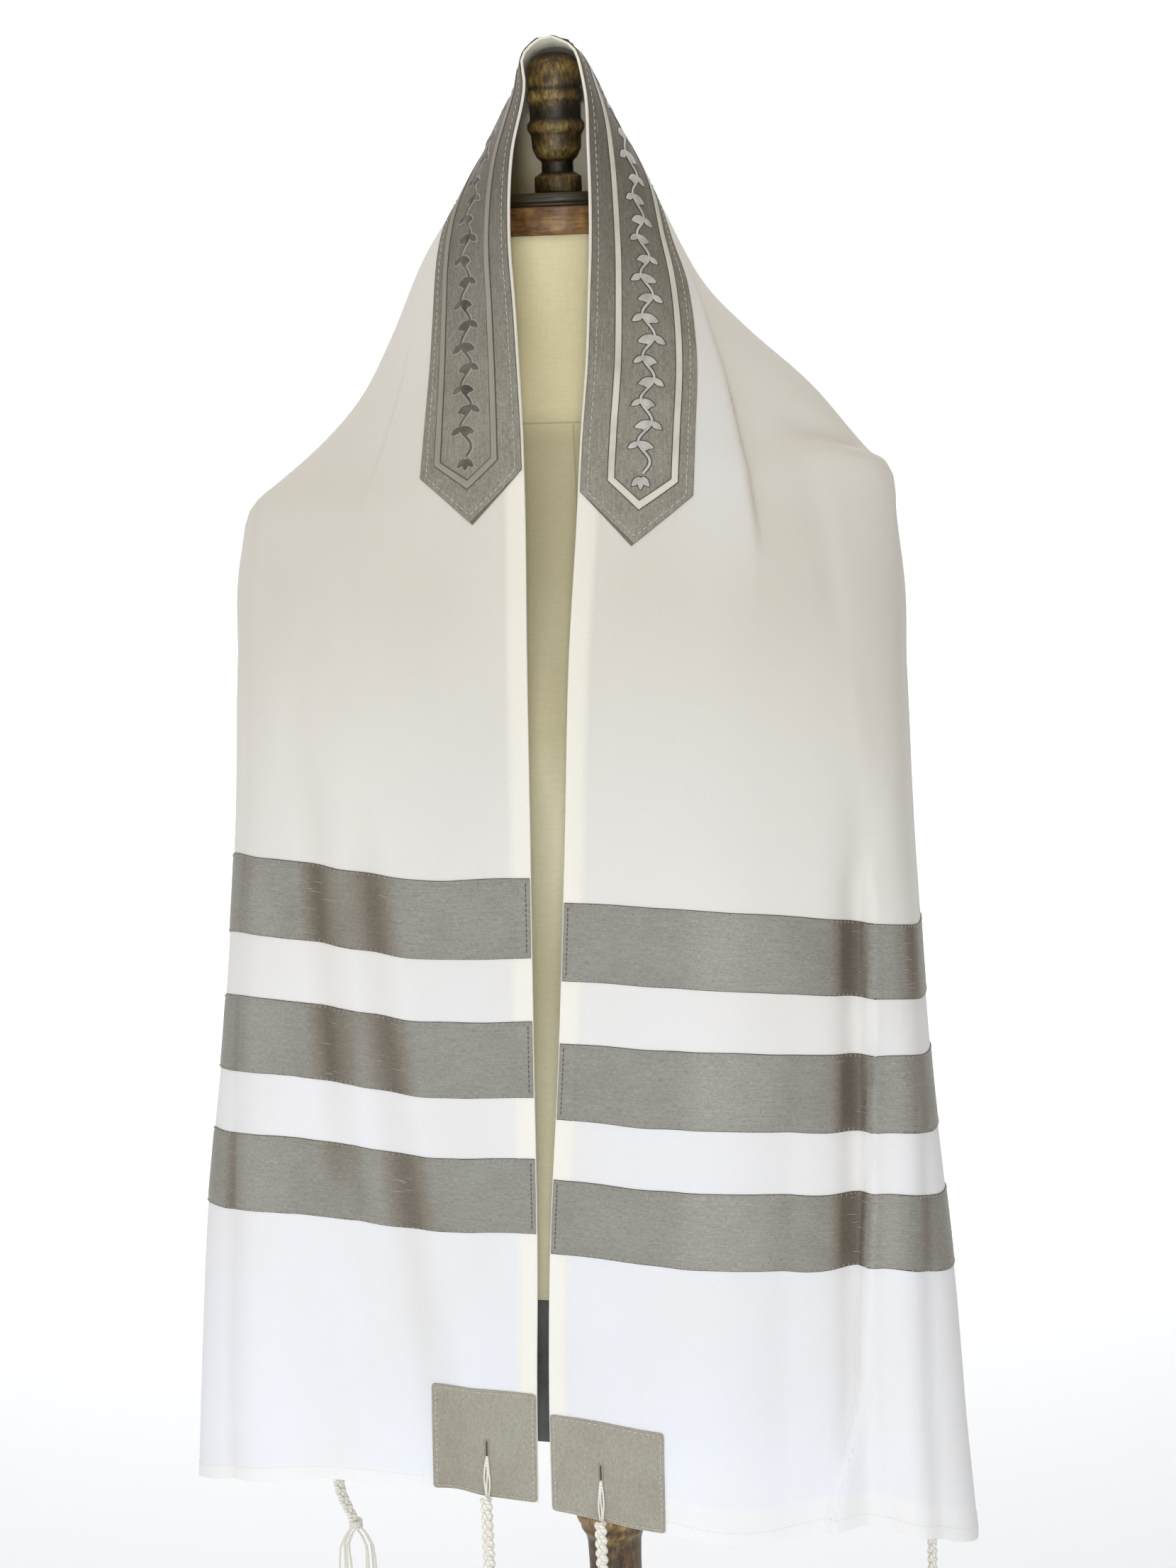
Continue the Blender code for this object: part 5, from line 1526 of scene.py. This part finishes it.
def build_tassel(corner, material, rng):
    """A tzitzit: loop strands through the hole, a plaited head, eight ends."""
    shape = Shape()
    loop_into(shape, corner)
    points, normals = above([corner.side * half_length(corner.side)], [corner.t_hole], 0.0)
    forward = unit(normals[0] * (1.0, 1.0, 0.0))
    sideways = np.array([-forward[1], forward[0], 0.0])
    start = points[0] + forward * HEAD_OUT + (0.0, 0.0, 0.0005)
    head, bend, part = TASSEL_WAYS.get(corner.name, (TASSEL_HEAD, 0.0, 0.0))
    for cord in range(CORDS):
        path = plait_path(cord, head, start, sideways, forward)
        path[:, 0] += bend * ease((start[2] - path[:, 2] - head + 0.035) / 0.050) * 2
        tube_into(shape, path, CORD_RADIUS, 10, 40.0)
    knot = start + np.array([bend * 2 * ease(0.7), 0.0, -head])
    angle = np.linspace(0, 2 * math.pi * KNOT_TURNS, 60)
    ring = (
        knot + KNOT_WIDE * np.outer(np.cos(angle), sideways)
        + KNOT_DEEP * np.outer(np.sin(angle), forward)
        + np.outer(np.linspace(-KNOT_HALF, KNOT_HALF, len(angle)), DOWN)
    )
    tube_into(shape, ring, KNOT_CORD, 8)
    down = np.linspace(0.0, 1.0, 26)
    for k in range(STRANDS):
        turn = 2 * math.pi * k / STRANDS + rng.uniform(-0.2, 0.2)
        lean = math.cos(turn) * sideways + math.sin(turn) * forward
        reach = STRAND_SPREAD * (1 + 0.6 * rng.random())
        sway = rng.uniform(-STRAND_SWAY, STRAND_SWAY)
        total = (TASSEL_TOTAL - head) * (1 - 0.06 * rng.random())
        path = (
            knot + lean * STRAND_ROOT + np.outer(np.sin(down * 2.0) * reach, lean)
            + np.outer(np.sin(down * 2.6 + k) * down * sway, sideways) + np.outer(down * total, DOWN)
        )
        path[:, 0] += (part if k % 2 else -part) * ease(down * 7)
        path[:, 2] += 0.4 * part * np.sin(math.pi * np.clip(down * 7, 0.0, 1.0))
        tube_into(shape, path, STRAND_RADIUS, 7)
    tassel = shape.finish(f"tassel_{corner.name}", material, "tassel_wool")
    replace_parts(tassel, f"tzitzit_{corner.name}")
    return tassel


# ------------------------------------------------------------- sewing threads
WHIP_RADIUS = 0.00024
WHIP_LENGTH = 0.0019
BAND_SHADE_LINE_RADIUS = 0.00040
# A dark line of painted shade along the neckband's pinched rim.
NECKBAND_RIM_RADIUS = 0.00034
NECKBAND_RIM_HEIGHT = 0.0009
NECKBAND_SEAM = 0.0045     # how far inside the neckband's edge it is sewn
# The ribbon's edge lines are partly stitching and partly painted shade.
RIBBON_EDGE_RADIUS = 0.00042
BAND_END = 0.0028          # the stitches at a band's ends lie this far inside them
# Running stitches: from one to the next, length of each, radius of the thread.
BAND_END_STITCH = (0.0034, 0.0026, 0.00036)
SQUARE_STITCH = (0.0041, 0.0030, 0.00030)
NECKBAND_STITCH = (0.0046, 0.0031, 0.00030)
HEM_STITCH = (0.0036, 0.0022, 0.00014)


def build_band_sewing(light, dark):
    """Whip stitches over a dark line of painted shade at both pinched edges, and a row at each end."""
    pieces = []
    near = EDGE_RIM
    far = SHAWL_WIDTH - EDGE_RIM
    for side, number, top, bottom in every_band():
        ticks = Shape()
        lines = Shape()
        for edge, inward in ((top, 1), (bottom, -1)):
            for k, place in enumerate(np.arange(near + 0.003, far - 0.002, WHIP_STEP)):
                drift = 0.0004 * math.sin(7.3 * k + number)
                s = side * np.array([edge + inward * 0.0001, edge + inward * (WHIP_LENGTH + drift)])
                height = BAND_HIGH + hem_lift(s, np.array([place, place]))
                ends, normals = above(s, np.array([place, place + 0.0003 + drift]), height)
                thread_into(ticks, ends, normals[0], WHIP_RADIUS, 0.0004)
            # A dark line of painted shade along the pinched edge.
            t = np.arange(near, far, 0.0025)
            places = np.stack([np.full_like(t, side * edge), t], axis=1)
            line_into(lines, places, BAND_SHADE_LINE_RADIUS, BAND_LOW)
        for t_end in (near + BAND_END, far - BAND_END):
            path = [(side * (top + 0.003), t_end), (side * (bottom - 0.003), t_end)]
            seam_into(lines, path, *BAND_END_STITCH, BAND_HIGH + 0.0003)
        name = f"{side_name(side)}_{number}"
        pieces.append(ticks.finish(f"band_ticks_{name}", light, "grey_silk"))
        pieces.append(lines.finish(f"band_lines_{name}", dark, "grey_silk"))
    return pieces


SLUB_SAMPLES = 7
NECKBAND_LANES = ((0.006, 0.017), (0.026, 0.060), (0.068, 0.074))
BAND_SPREAD = 0.016        # how far from a fold the slubs beside it lie, about
# On each piece of silk: how many slubs, and their least and greatest length and
# radius, how far one may lean, and its height over the cloth's middle.
Slubs = namedtuple("Slubs", "count short long thin thick lean height")
BAND_SLUBS = Slubs(58, 0.005, 0.014, 0.00016, 0.00028, 0.0006, BAND_HIGH + 0.0003)
NECKBAND_SLUBS = Slubs(120, 0.006, 0.030, 0.00014, 0.00026, 0.0005, PATCH_HIGH + 0.0002)
SQUARE_SLUBS = Slubs(16, 0.004, 0.011, 0.00014, 0.00022, 0.0004, PATCH_HIGH + 0.00025)


def slub_into(shape, start, end, height, radius):
    """Add one thick place in a thread, lying on the silk from start to end."""
    share = np.linspace(0.0, 1.0, SLUB_SAMPLES)
    s = start[0] + (end[0] - start[0]) * share
    t = start[1] + (end[1] - start[1]) * share
    taper = np.sqrt(np.sin(math.pi * np.clip(share, 0.04, 0.96)))
    path, _ = over_hems(s, t, height - radius * (1 - taper))
    tube_into(shape, path, radius * taper, THREAD_SIDES)


def band_slubs(rng):
    """Slubs of the six bands, two of three of them beside a fold."""
    shape = Shape()
    kind = BAND_SLUBS
    for side in SIDES:
        for top, bottom in band_places(side):
            folds = [
                (fold.t_top + fold.t_bottom) / 2 for fold in FOLDS
                if fold.side in (0, side) and fold.depth < 0 and fold.s_top < top
            ]
            folds += [dim.t_top for dim in SHADE_AND_HIGHLIGHT_STREAKS if dim.side == side]
            for k in range(kind.count):
                if k % 3:
                    middle = rng.choice(folds) + rng.gauss(0.0, BAND_SPREAD)
                else:
                    middle = rng.uniform(0.02, 0.49)
                long = rng.uniform(kind.short, kind.long)
                low = min(max(middle, 0.010), SHAWL_WIDTH - 0.010 - long)
                row = rng.uniform(top + 0.004, bottom - 0.004)
                lean = rng.uniform(-kind.lean, kind.lean)
                slub_into(
                    shape, (side * row, low), (side * (row + lean), low + long),
                    kind.height, rng.uniform(kind.thin, kind.thick),
                )
    return shape


def neckband_slubs(rng):
    """Slubs of the neckband, clear of its ribbon."""
    shape = Shape()
    kind = NECKBAND_SLUBS
    for _ in range(kind.count):
        long = rng.uniform(kind.short, kind.long)
        middle = rng.uniform(-NECKBAND_HALF, NECKBAND_HALF - long)
        low = rng.choice([rng.uniform(*lane) for lane in NECKBAND_LANES])
        slub_into(
            shape, (middle, low), (middle + long, low + rng.uniform(-kind.lean, kind.lean)),
            kind.height, rng.uniform(kind.thin, kind.thick),
        )
    return shape


def square_slubs(rng):
    """Slubs of the corner squares."""
    shape = Shape()
    kind = SQUARE_SLUBS
    for corner in CORNERS:
        end = half_length(corner.side)
        for _ in range(kind.count):
            long = rng.uniform(kind.short, kind.long)
            row = rng.uniform(end - CORNER_SQUARE + 0.006, end - 0.006 - long)
            place = rng.uniform(corner.t_low + 0.006, corner.t_high - 0.006)
            slub_into(
                shape, (corner.side * row, place),
                (corner.side * (row + long), place + rng.uniform(-kind.lean, kind.lean)),
                kind.height, rng.uniform(kind.thin, kind.thick),
            )
    return shape


def build_slubs(material, rng):
    """Short thick threads in the raw silk, most of them beside the folds."""
    return [
        band_slubs(rng).finish("band_slubs", material, "grey_silk"),
        neckband_slubs(rng).finish("neckband_slubs", material, "neckband_silk"),
        square_slubs(rng).finish("square_slubs", material, "grey_silk"),
    ]


def square_outline(corner, inset):
    """Places round a corner square, a given distance inside its edge."""
    radius = max(SQUARE_ROUND - inset, 0.0006)
    end = half_length(corner.side) - EDGE_RIM - inset - radius
    start = end - corner.long + 2 * (inset + radius)
    low = corner.t_low + inset + radius
    high = corner.t_high - inset - radius
    places = []
    for s, t, first in ((end, high, 0.0), (end, low, 270.0), (start, low, 180.0), (start, high, 90.0)):
        for turn in (90.0, 60.0, 30.0, 0.0):
            angle = math.radians(first + turn)
            places.append((
                corner.side * (s + radius * math.cos(angle)), t + radius * math.sin(angle),
            ))
    return places + places[:1]


def build_square_sewing(material):
    """Off-white running stitch round each corner square."""
    pieces = []
    for corner in CORNERS:
        shape = Shape()
        seam_into(shape, square_outline(corner, SQUARE_SEAM), *SQUARE_STITCH, PATCH_HIGH)
        pieces.append(shape.finish(f"square_sewing_{corner.name}", material, "tassel_wool"))
    return pieces


def neckband_outline(inset):
    """Places round the neckband, a given distance inside its edge."""
    low = NECKBAND_EDGE + inset
    high = NECKBAND_FAR - inset
    corners = []
    for side, first, last in ((1, low, high), (-1, high, low)):
        tip = neckband_end(side, NECKBAND_POINT - inset)
        corners += [(neckband_end(side), first), (tip, NECKBAND_POINT_T), (neckband_end(side), last)]
    return corners + corners[:1]


def build_neckband_sewing(light, dark):
    """Running stitches inside the neckband's edge, and a dark line of painted shade along its pinched
    rim.
    """
    stitches = Shape()
    path = dense(neckband_outline(NECKBAND_SEAM), PATCH_STEP)
    seam_into(stitches, path, *NECKBAND_STITCH, PATCH_HIGH + 0.0002)
    rim = Shape()
    places = dense(neckband_outline(0.0), LINE_STEP)
    line_into(rim, places, NECKBAND_RIM_RADIUS, NECKBAND_RIM_HEIGHT)
    return [
        stitches.finish("neckband_sewing", light, "neckband_silk"),
        rim.finish("neckband_rim_shade", dark, "neckband_silk"),
    ]


FACING_CORNER_T = 0.0025


def build_facings(material):
    """The turned edge that shows past each of the neckband's points."""
    pieces = []
    for side in SIDES:
        corner = np.array([neckband_end(side), FACING_CORNER_T])
        run = np.array([neckband_end(side, NECKBAND_POINT), NECKBAND_POINT_T]) - corner
        outward = np.array([side * run[1], -side * run[0]]) / np.linalg.norm(run)
        share = np.linspace(0.0, 1.0, 14)
        wide = np.outer(FACING_WIDTH * (0.35 + 0.65 * share), (0.0, 0.5, 1.0))
        places = (corner + share[:, None] * run)[:, None, :] + outward * wide[..., None]
        if side > 0:
            places = places[:, ::-1]
        pieces.append(shell(
            f"neckband_facing_{side_name(side)}", places[..., 0], places[..., 1],
            PATCH_LOW, PATCH_LOW + 0.0004, material, "neckband_silk",
        ))
    return pieces


def relief_into(shape, s, t, height, cut):
    """Add a low domed form on the neckband: a grid of places with heights."""
    rows, columns = s.shape
    foot = above(s, t, PATCH_HIGH - 0.0001)[0].reshape(-1, 3)
    top = above(s, t, RELIEF_BASE + height)[0].reshape(-1, 3)
    rim = rim_of(rows, columns)
    top[rim] = foot[rim]
    inner = sorted(set(range(rows * columns)) - set(rim))
    under = list(range(rows * columns))
    for number, k in enumerate(inner):
        under[k] = rows * columns + number
    faces = grid_faces(rows, columns)
    faces += [tuple(under[k] for k in face) for face in grid_faces(rows, columns, flip=True)]
    cut = cut.reshape(-1, 2)
    shape.add(np.concatenate([top, foot[inner]]), faces, np.concatenate([cut, cut[inner]]))


def dome(across):
    """Height share of a rounded form at places -1 to 1 across it."""
    return np.sqrt(np.maximum(1 - across**2, 0.0))[None, :]


def leaf_into(shape, place, angle, length, width, bend, height):
    """Add a pointed, domed leaf at a place (s, t), pointing at an angle."""
    along = np.linspace(0.0, 1.0, 11)
    across = np.linspace(-1.0, 1.0, 7)
    half = width / 2 * np.sin(math.pi * np.clip(along, 0.03, 0.97) ** 0.85) ** 0.9
    u = length * np.repeat(along[:, None], len(across), axis=1)
    beside = half[:, None] * across[None, :]
    v = beside + (bend * along**2 * length)[:, None]
    s = place[0] + u * math.cos(angle) - v * math.sin(angle)
    t = place[1] + u * math.sin(angle) + v * math.cos(angle)
    vein = 1 - 0.35 * bell(across, 0.22)[None, :]
    swell = np.sqrt(np.sin(math.pi * np.clip(along, 0.02, 0.98)))[:, None]
    relief_into(shape, s, t, height * dome(across) * vein * swell, np.stack([beside, u], axis=-1))


def stem_into(shape, places, width, height):
    """Add a raised stem of satin stitch along (s, t) places."""
    forward = np.gradient(places, axis=0)
    forward /= np.linalg.norm(forward, axis=1)[:, None]
    beside = np.stack([-forward[:, 1], forward[:, 0]], axis=1)
    across = np.linspace(-1.0, 1.0, 5)
    grid = places[:, None, :] + beside[:, None, :] * (across[None, :] * width / 2)[..., None]
    run = np.repeat(running_length(places)[:, None], len(across), axis=1)
    cut = np.stack([0 * run + across * width / 2, run], axis=-1)
    relief_into(shape, grid[..., 0], grid[..., 1], height * dome(across) + 0 * run, cut)


Leaf = namedtuple("Leaf", "turn length width bend height")
CREST_LEAVES = (Leaf(0.95, 0.0122, 0.0074, 0.22, 0.0013), Leaf(-0.70, 0.0090, 0.0058, -0.2, 0.0012))
END_LEAVES = [Leaf(turn, 0.0090, 0.0054, 0.0, 0.0012) for turn in (-0.75, 0.0, 0.75)]
CURL_RADIUS = 0.0027
CURL_CLOSE = 0.42          # share of the radius lost by a tendril's end
CURL_BESIDE = 0.0040
CURL_STEM = 0.0020
VINE_STOP = 0.012          # the vine stops this far short of the neckband's corner


def padded_leaf(thread, edge, place, grow, leaf, lean=1, size=1.0):
    """A satin-stitched leaf over a slightly larger sheet of painted highlight and shadow; lean is -1 for
    its mirror image.
    """
    angle = grow + lean * leaf.turn
    length = leaf.length * size
    width = leaf.width * size
    bend = leaf.bend * lean
    back = VINE_SHADE_EDGE / 2
    root = (place[0] - back * math.cos(angle), place[1] - back * math.sin(angle))
    leaf_into(edge, root, angle, length + VINE_SHADE_EDGE, width + VINE_SHADE_EDGE, bend, VINE_EDGE_HEIGHT)
    leaf_into(thread, place, angle, length, width, bend, leaf.height)


def padded_stem(thread, edge, s, t, width):
    """A satin-stitched stem over a slightly wider sheet of painted highlight and shadow."""
    places = np.stack([s, t], axis=1)
    stem_into(edge, places, width + VINE_SHADE_EDGE, VINE_EDGE_HEIGHT)
    stem_into(thread, places, width, STEM_HEIGHT)


def build_vine(material, outline, rng):
    """A running vine embroidered down the middle of the neckband."""
    thread = Shape()
    edge = Shape()
    half_wave = VINE_WAVE / 2
    for side in SIDES:
        grow = 0.0 if side > 0 else math.pi
        stop = NECKBAND_HALF + side * SLIDE - VINE_STOP
        reach = np.arange(0.0, stop, 0.0014)
        swing = VINE_SWING * np.sin(math.pi * reach / half_wave)
        padded_stem(thread, edge, side * reach, VINE_MIDDLE + swing, VINE_STEM)
        for k in range(int((stop - 0.004) / half_wave)):
            peak = (k + 0.5) * half_wave
            up = 1 if k % 2 == 0 else -1
            lean = -up * side
            root = (side * peak, VINE_MIDDLE + up * VINE_SWING)
            size = 1 + 0.12 * rng.uniform(-1, 1)
            for leaf in CREST_LEAVES:
                padded_leaf(thread, edge, root, grow, leaf, lean, size)
            curl = np.linspace(0.0, 1.5 * math.pi, 16)
            radius = CURL_RADIUS * (1 - CURL_CLOSE * curl / curl[-1])
            s = side * (peak + CURL_BESIDE) - side * radius * np.cos(curl)
            t = VINE_MIDDLE - up * VINE_SWING * 0.1 - up * radius * np.sin(curl)
            padded_stem(thread, edge, s, t, CURL_STEM)
        swing = VINE_SWING * math.sin(math.pi * stop / half_wave)
        end = (side * (stop + 0.001), VINE_MIDDLE + swing)
        for leaf in END_LEAVES:
            padded_leaf(thread, edge, end, grow, leaf)
    return [
        thread.finish("neckband_vine", material, "neckband_silk"),
        # The sheet of painted highlight and shadow round the embroidery.
        edge.finish("neckband_vine_shade_edge", outline, "neckband_silk"),
    ]


def build_ribbon_edging(material):
    """Dark lines along both edges of the ribbon: its stitching, with painted shade where the edges are
    pinched.
    """
    shape = Shape()
    for loop in RIBBON_EDGES:
        line_into(shape, dense(loop, LINE_STEP), RIBBON_EDGE_RADIUS, RIBBON_BASE, above)
    return shape.finish("ribbon_edging", material, "neckband_silk")


HEM_STITCH_IN = 0.0012     # the hem is sewn this far inside its turned edge


def build_cloth_sewing(material):
    """The hem stitches of the long edges and the ends."""
    shape = Shape()
    for side in SIDES:
        row = side * (half_length(side) - END_HEM + HEM_STITCH_IN)
        paths = [[(row, t) for t in np.linspace(0.082, 0.426, 90)]]
        for t in (LONG_HEM - HEM_STITCH_IN, SHAWL_WIDTH - LONG_HEM + HEM_STITCH_IN):
            for low, high in ((0.36, 0.646), (0.84, 0.955)):
                paths.append([(side * x, t) for x in np.linspace(low, high, 60)])
        for path in paths:
            seam_into(shape, path, *HEM_STITCH, CLOTH_HALF)
    return shape.finish("hem_sewing", material, "white_cloth")


# ------------------------------------------------------------------ the stand
BODY_STEP = 0.006
BODY_EDGE = 0.0025         # radius of a body's top and bottom edges
WORN_REACH = 12            # a ring is proud of this many rings above and below it
WORN_HEIGHT = 0.0016


def rounded(outline, radius):
    """A turned outline with each of its corners softened."""
    outline = np.array(outline)
    points = [outline[0]]
    for before, corner, after in zip(outline, outline[1:], outline[2:]):
        back = before - corner
        ahead = after - corner
        size = min(radius, np.linalg.norm(back) * 0.45, np.linalg.norm(ahead) * 0.45)
        start = corner + unit(back) * size
        stop = corner + unit(ahead) * size
        for u in (0.0, 0.25, 0.5, 0.75, 1.0):
            points.append(start * (1 - u) ** 2 + corner * 2 * u * (1 - u) + stop * u**2)
    return np.array(points + [outline[-1]])


def turned(name, outline, radius, material, slot, node):
    """A turned piece: its outline, top to bottom, spun round the middle."""
    line = rounded(outline, radius)
    wide, heights = line[1:-1].T
    count = len(wide)
    angle = 2 * math.pi * np.arange(TURN_SIDES) / TURN_SIDES
    x, y = (np.outer(wide, way(angle)).ravel() for way in (np.cos, np.sin))
    z = np.repeat(heights, TURN_SIDES)
    cut = np.stack([np.tile(angle / (2 * math.pi), count), z], axis=-1)
    ends = [[0.0, line[0][1]], [0.0, line[-1][1]]]
    points = np.concatenate([np.stack([x, y, z], axis=-1), np.insert(ends, 0, 0.0, axis=1)])
    shape = Shape()
    shape.add(points, ring_faces(count, TURN_SIDES, flip=True), np.concatenate([cut, ends]))
    piece = shape.finish(name, material, slot, TURNED_ANGLE)
    nearby = [wide[max(0, k - WORN_REACH):k + WORN_REACH + 1].mean() for k in range(count)]
    proud = np.clip((wide - nearby) / WORN_HEIGHT, -1.0, 1.0)
    store(piece, "worn", np.concatenate([np.repeat(proud, TURN_SIDES), [0.0, 0.0]]))
    store(piece, "moulded", np.concatenate([z > MOULDED_Z, [1.0, 0.0]]))
    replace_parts(piece, node)


def body_shape(name, rings, material, slot, node):
    """A smooth body through level rounded sections."""
    rings = np.array(rings)[::-1]
    heights = spaced([rings[0][0], rings[-1][0]], BODY_STEP)
    half_width, half_depth, middle = smooth(rings[:, 0], rings[:, 1:], heights).T
    angle = 2 * math.pi * np.arange(BODY_SIDES) / BODY_SIDES
    power = 2 / BODY_SQUARENESS
    cos, sin = (np.copysign(np.abs(way(angle)) ** power, way(angle)) for way in (np.cos, np.sin))
    near = np.minimum(heights - heights[0], heights[-1] - heights)
    into = np.maximum(BODY_EDGE - near, 0.0)
    shrink = BODY_EDGE - np.sqrt(np.maximum(BODY_EDGE**2 - into**2, 0.0))
    x = np.outer(half_width - shrink, cos).ravel()
    y = (middle[:, None] + np.outer(half_depth - shrink, sin)).ravel()
    z = np.repeat(heights, BODY_SIDES)
    ends = [[0.0, middle[0], heights[0]], [0.0, middle[-1], heights[-1]]]
    cut = np.stack([np.tile(angle, len(heights)), z], axis=-1)
    shape = Shape()
    shape.add(
        np.concatenate([np.stack([x, y, z], axis=-1), ends]),
        ring_faces(len(heights), BODY_SIDES), np.concatenate([cut, np.zeros((2, 2))]),
    )
    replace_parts(shape.finish(name, material, slot), node)


# ------------------------------------------------------------- floor and light
FLOOR_FRONT = -6.0
FLOOR_BACK = 4.2           # far enough for a view from behind to stand in front of the paper
FLOOR_HALF = 7.0
BACKDROP_TOP = 6.0
SWEEP = 1.2
SWEEP_STEPS = 12
CAMERA_AZIMUTH = math.radians(10.0)
CAMERA_PITCH = math.radians(11.3)
CAMERA_ROLL = math.radians(2.37)
CAMERA_PLACE = (0.0034, -2.0, 1.494)
FOCAL_PER_HEIGHT = 4037.0 / 2212.0
SENSOR_HEIGHT = 24.0
TO_PHOTO_SIDE = Matrix.Rotation(CAMERA_AZIMUTH, 3, "Z")


def build_backdrop():
    """A pale floor that curves up into a backdrop behind the stand."""
    profile = [(FLOOR_FRONT, 0.0), (FLOOR_BACK, 0.0)]
    for k in range(1, SWEEP_STEPS + 1):
        angle = math.radians(90 * k / SWEEP_STEPS)
        profile.append((FLOOR_BACK + SWEEP * math.sin(angle), SWEEP * (1 - math.cos(angle))))
    profile.append((FLOOR_BACK + SWEEP, BACKDROP_TOP))
    points = [TO_PHOTO_SIDE @ Vector((x * FLOOR_HALF, y, z)) for y, z in profile for x in SIDES]
    mesh = bpy.data.meshes.new("studio_floor")
    mesh.from_pydata(points, [], grid_faces(len(profile), len(SIDES)))
    mesh.materials.append(floor_material())
    mesh.shade_smooth()
    floor = bpy.data.objects.new("studio_floor", mesh)
    bpy.context.collection.objects.link(floor)


# Large soft lamps: name, place, what they face, width and height, watts, colour.
LIGHTS = (
    ("left_light", (-2.8, -0.8, 1.5), (0.0, 0.0, 1.1), (1.4, 1.8), 15.5, (0.97, 0.97, 1.0)),
    ("right_light", (2.4, -1.8, 1.4), (0.0, 0.0, 1.0), (1.4, 1.8), 10.5, (0.90, 0.94, 1.0)),
    ("top_light", (0.0, -0.4, 3.4), (0.0, 0.0, 1.1), (1.8, 1.8), 14.0, (1.0, 0.97, 0.92)),
    ("low_light", (-0.2, -1.9, 0.60), (0.0, 0.0, 0.62), (1.8, 0.9), 14.0, (0.88, 0.94, 1.0)),
    ("front_light", (0.45, -2.3, 1.42), (0.0, 0.0, 1.30), (0.5, 0.7), 9.0, (1.0, 0.98, 0.94)),
    ("backdrop_light", (-0.60, 3.4, 3.0), (-0.94, 5.3, 1.0), (3.6, 1.2), 80.0, (1.0, 1.0, 1.0)),
    ("floor_light", (-0.40, 2.3, 3.0), (-0.40, 2.7, 0.0), (3.2, 2.4), 55.0, (1.0, 1.0, 1.0)),
)
SKY_COLOUR = (1.0, 0.955, 0.88, 1.0)
SKY_STRENGTH = 0.355


def build_lights():
    """Even, soft studio light, warmer above and cooler below."""
    for name, place, target, size, watts, colour in LIGHTS:
        lamp = bpy.data.lights.new(name, "AREA")
        lamp.shape = "RECTANGLE"
        lamp.size, lamp.size_y = size
        lamp.energy = watts
        lamp.color = colour
        holder = bpy.data.objects.new(name, lamp)
        holder.location = place
        aim = Vector(target) - Vector(place)
        holder.rotation_euler = aim.to_track_quat("-Z", "Y").to_euler()
        holder.visible_camera = False
        bpy.context.collection.objects.link(holder)
    world = bpy.data.worlds.new("studio_world")
    world.use_nodes = True
    sky = world.node_tree.nodes["Background"]
    sky.inputs["Color"].default_value = SKY_COLOUR
    sky.inputs["Strength"].default_value = SKY_STRENGTH
    bpy.context.scene.world = world


def build_camera():
    """The photo's view: a little above, a little to the left, slightly rolled."""
    lens = bpy.data.cameras.new("photo_camera")
    lens.sensor_fit = "VERTICAL"
    lens.sensor_height = SENSOR_HEIGHT
    lens.lens = SENSOR_HEIGHT * FOCAL_PER_HEIGHT
    lens.clip_start = 0.05
    forward = Vector((0.0, math.cos(CAMERA_PITCH), -math.sin(CAMERA_PITCH)))
    level = Vector((1.0, 0.0, 0.0))
    upward = level.cross(forward)
    cos = math.cos(CAMERA_ROLL)
    sin = math.sin(CAMERA_ROLL)
    axes = (level * cos - upward * sin, level * sin + upward * cos, -forward)
    turn = TO_PHOTO_SIDE @ Matrix(axes).transposed()
    holder = bpy.data.objects.new("photo_camera", lens)
    place = TO_PHOTO_SIDE @ Vector(CAMERA_PLACE)
    holder.matrix_world = Matrix.LocRotScale(place, turn.to_quaternion(), None)
    bpy.context.collection.objects.link(holder)
    bpy.context.scene.camera = holder


# ------------------------------------------------------------------ everything
def build_stand():
    """The dress form under the shawl."""
    antique = antique_wood_material("turned_wood")
    post = antique_wood_material("post_wood")
    plain = antique_wood_material("foot_wood")
    turned("stand_finial", FINIAL, 0.0008, antique, "turned_wood", "finial")
    turned("stand_cap", CAP, 0.0008, cap_wood_material(), "cap_wood", "neck_cap")
    body_shape("stand_torso", TORSO, linen_material(), "form_linen", "torso")
    body_shape("stand_skirt", SKIRT, base_cloth_material(), "form_base_cloth", "torso_base")
    turned("stand_pole", POLE, 0.0004, steel_material(), "pole_metal", "pole")
    turned("stand_column", COLUMN, 0.0030, post, "turned_wood", "column")
    turned("stand_foot", FOOT, 0.0020, plain, "foot_wood", "foot")


def build_shawl():
    """The shawl, its sewn-on pieces, their stitches and the tassels."""
    rng = random.Random(SEED)
    pale, grey, edge = (thread_material(f"{name}_thread") for name in ("pale", "grey", "edge"))
    shadow = thread_material("slit_shadow")
    wool = wool_material()
    cloth = build_cloth(white_cloth_material())
    bands = build_bands(silk_material("grey_silk"))
    neckband = build_neckband(silk_material("neckband_silk"))
    ribbon = build_ribbon(satin_material())
    squares = build_squares(silk_material("square_silk"))
    sewing = build_band_sewing(grey, edge)
    sewing += build_square_sewing(pale)
    sewing += build_slubs(thread_material("slub_thread"), rng)
    sewing += build_facings(silk_material("facing_silk"))
    sewing += build_neckband_sewing(pale, edge)
    sewing += build_vine(embroidery_material(), embroidery_shade_edge_material(), rng)
    sewing.append(build_ribbon_edging(thread_material("dark_thread")))
    sewing.append(build_cloth_sewing(thread_material("white_thread")))
    holes = []
    for corner in CORNERS:
        holes += build_buttonhole(corner, grey, shadow)
        build_tassel(corner, wool, rng)


bpy.context.scene.view_settings.view_transform = "Standard"
build_stand()
build_shawl()
build_backdrop()
build_lights()
build_camera()
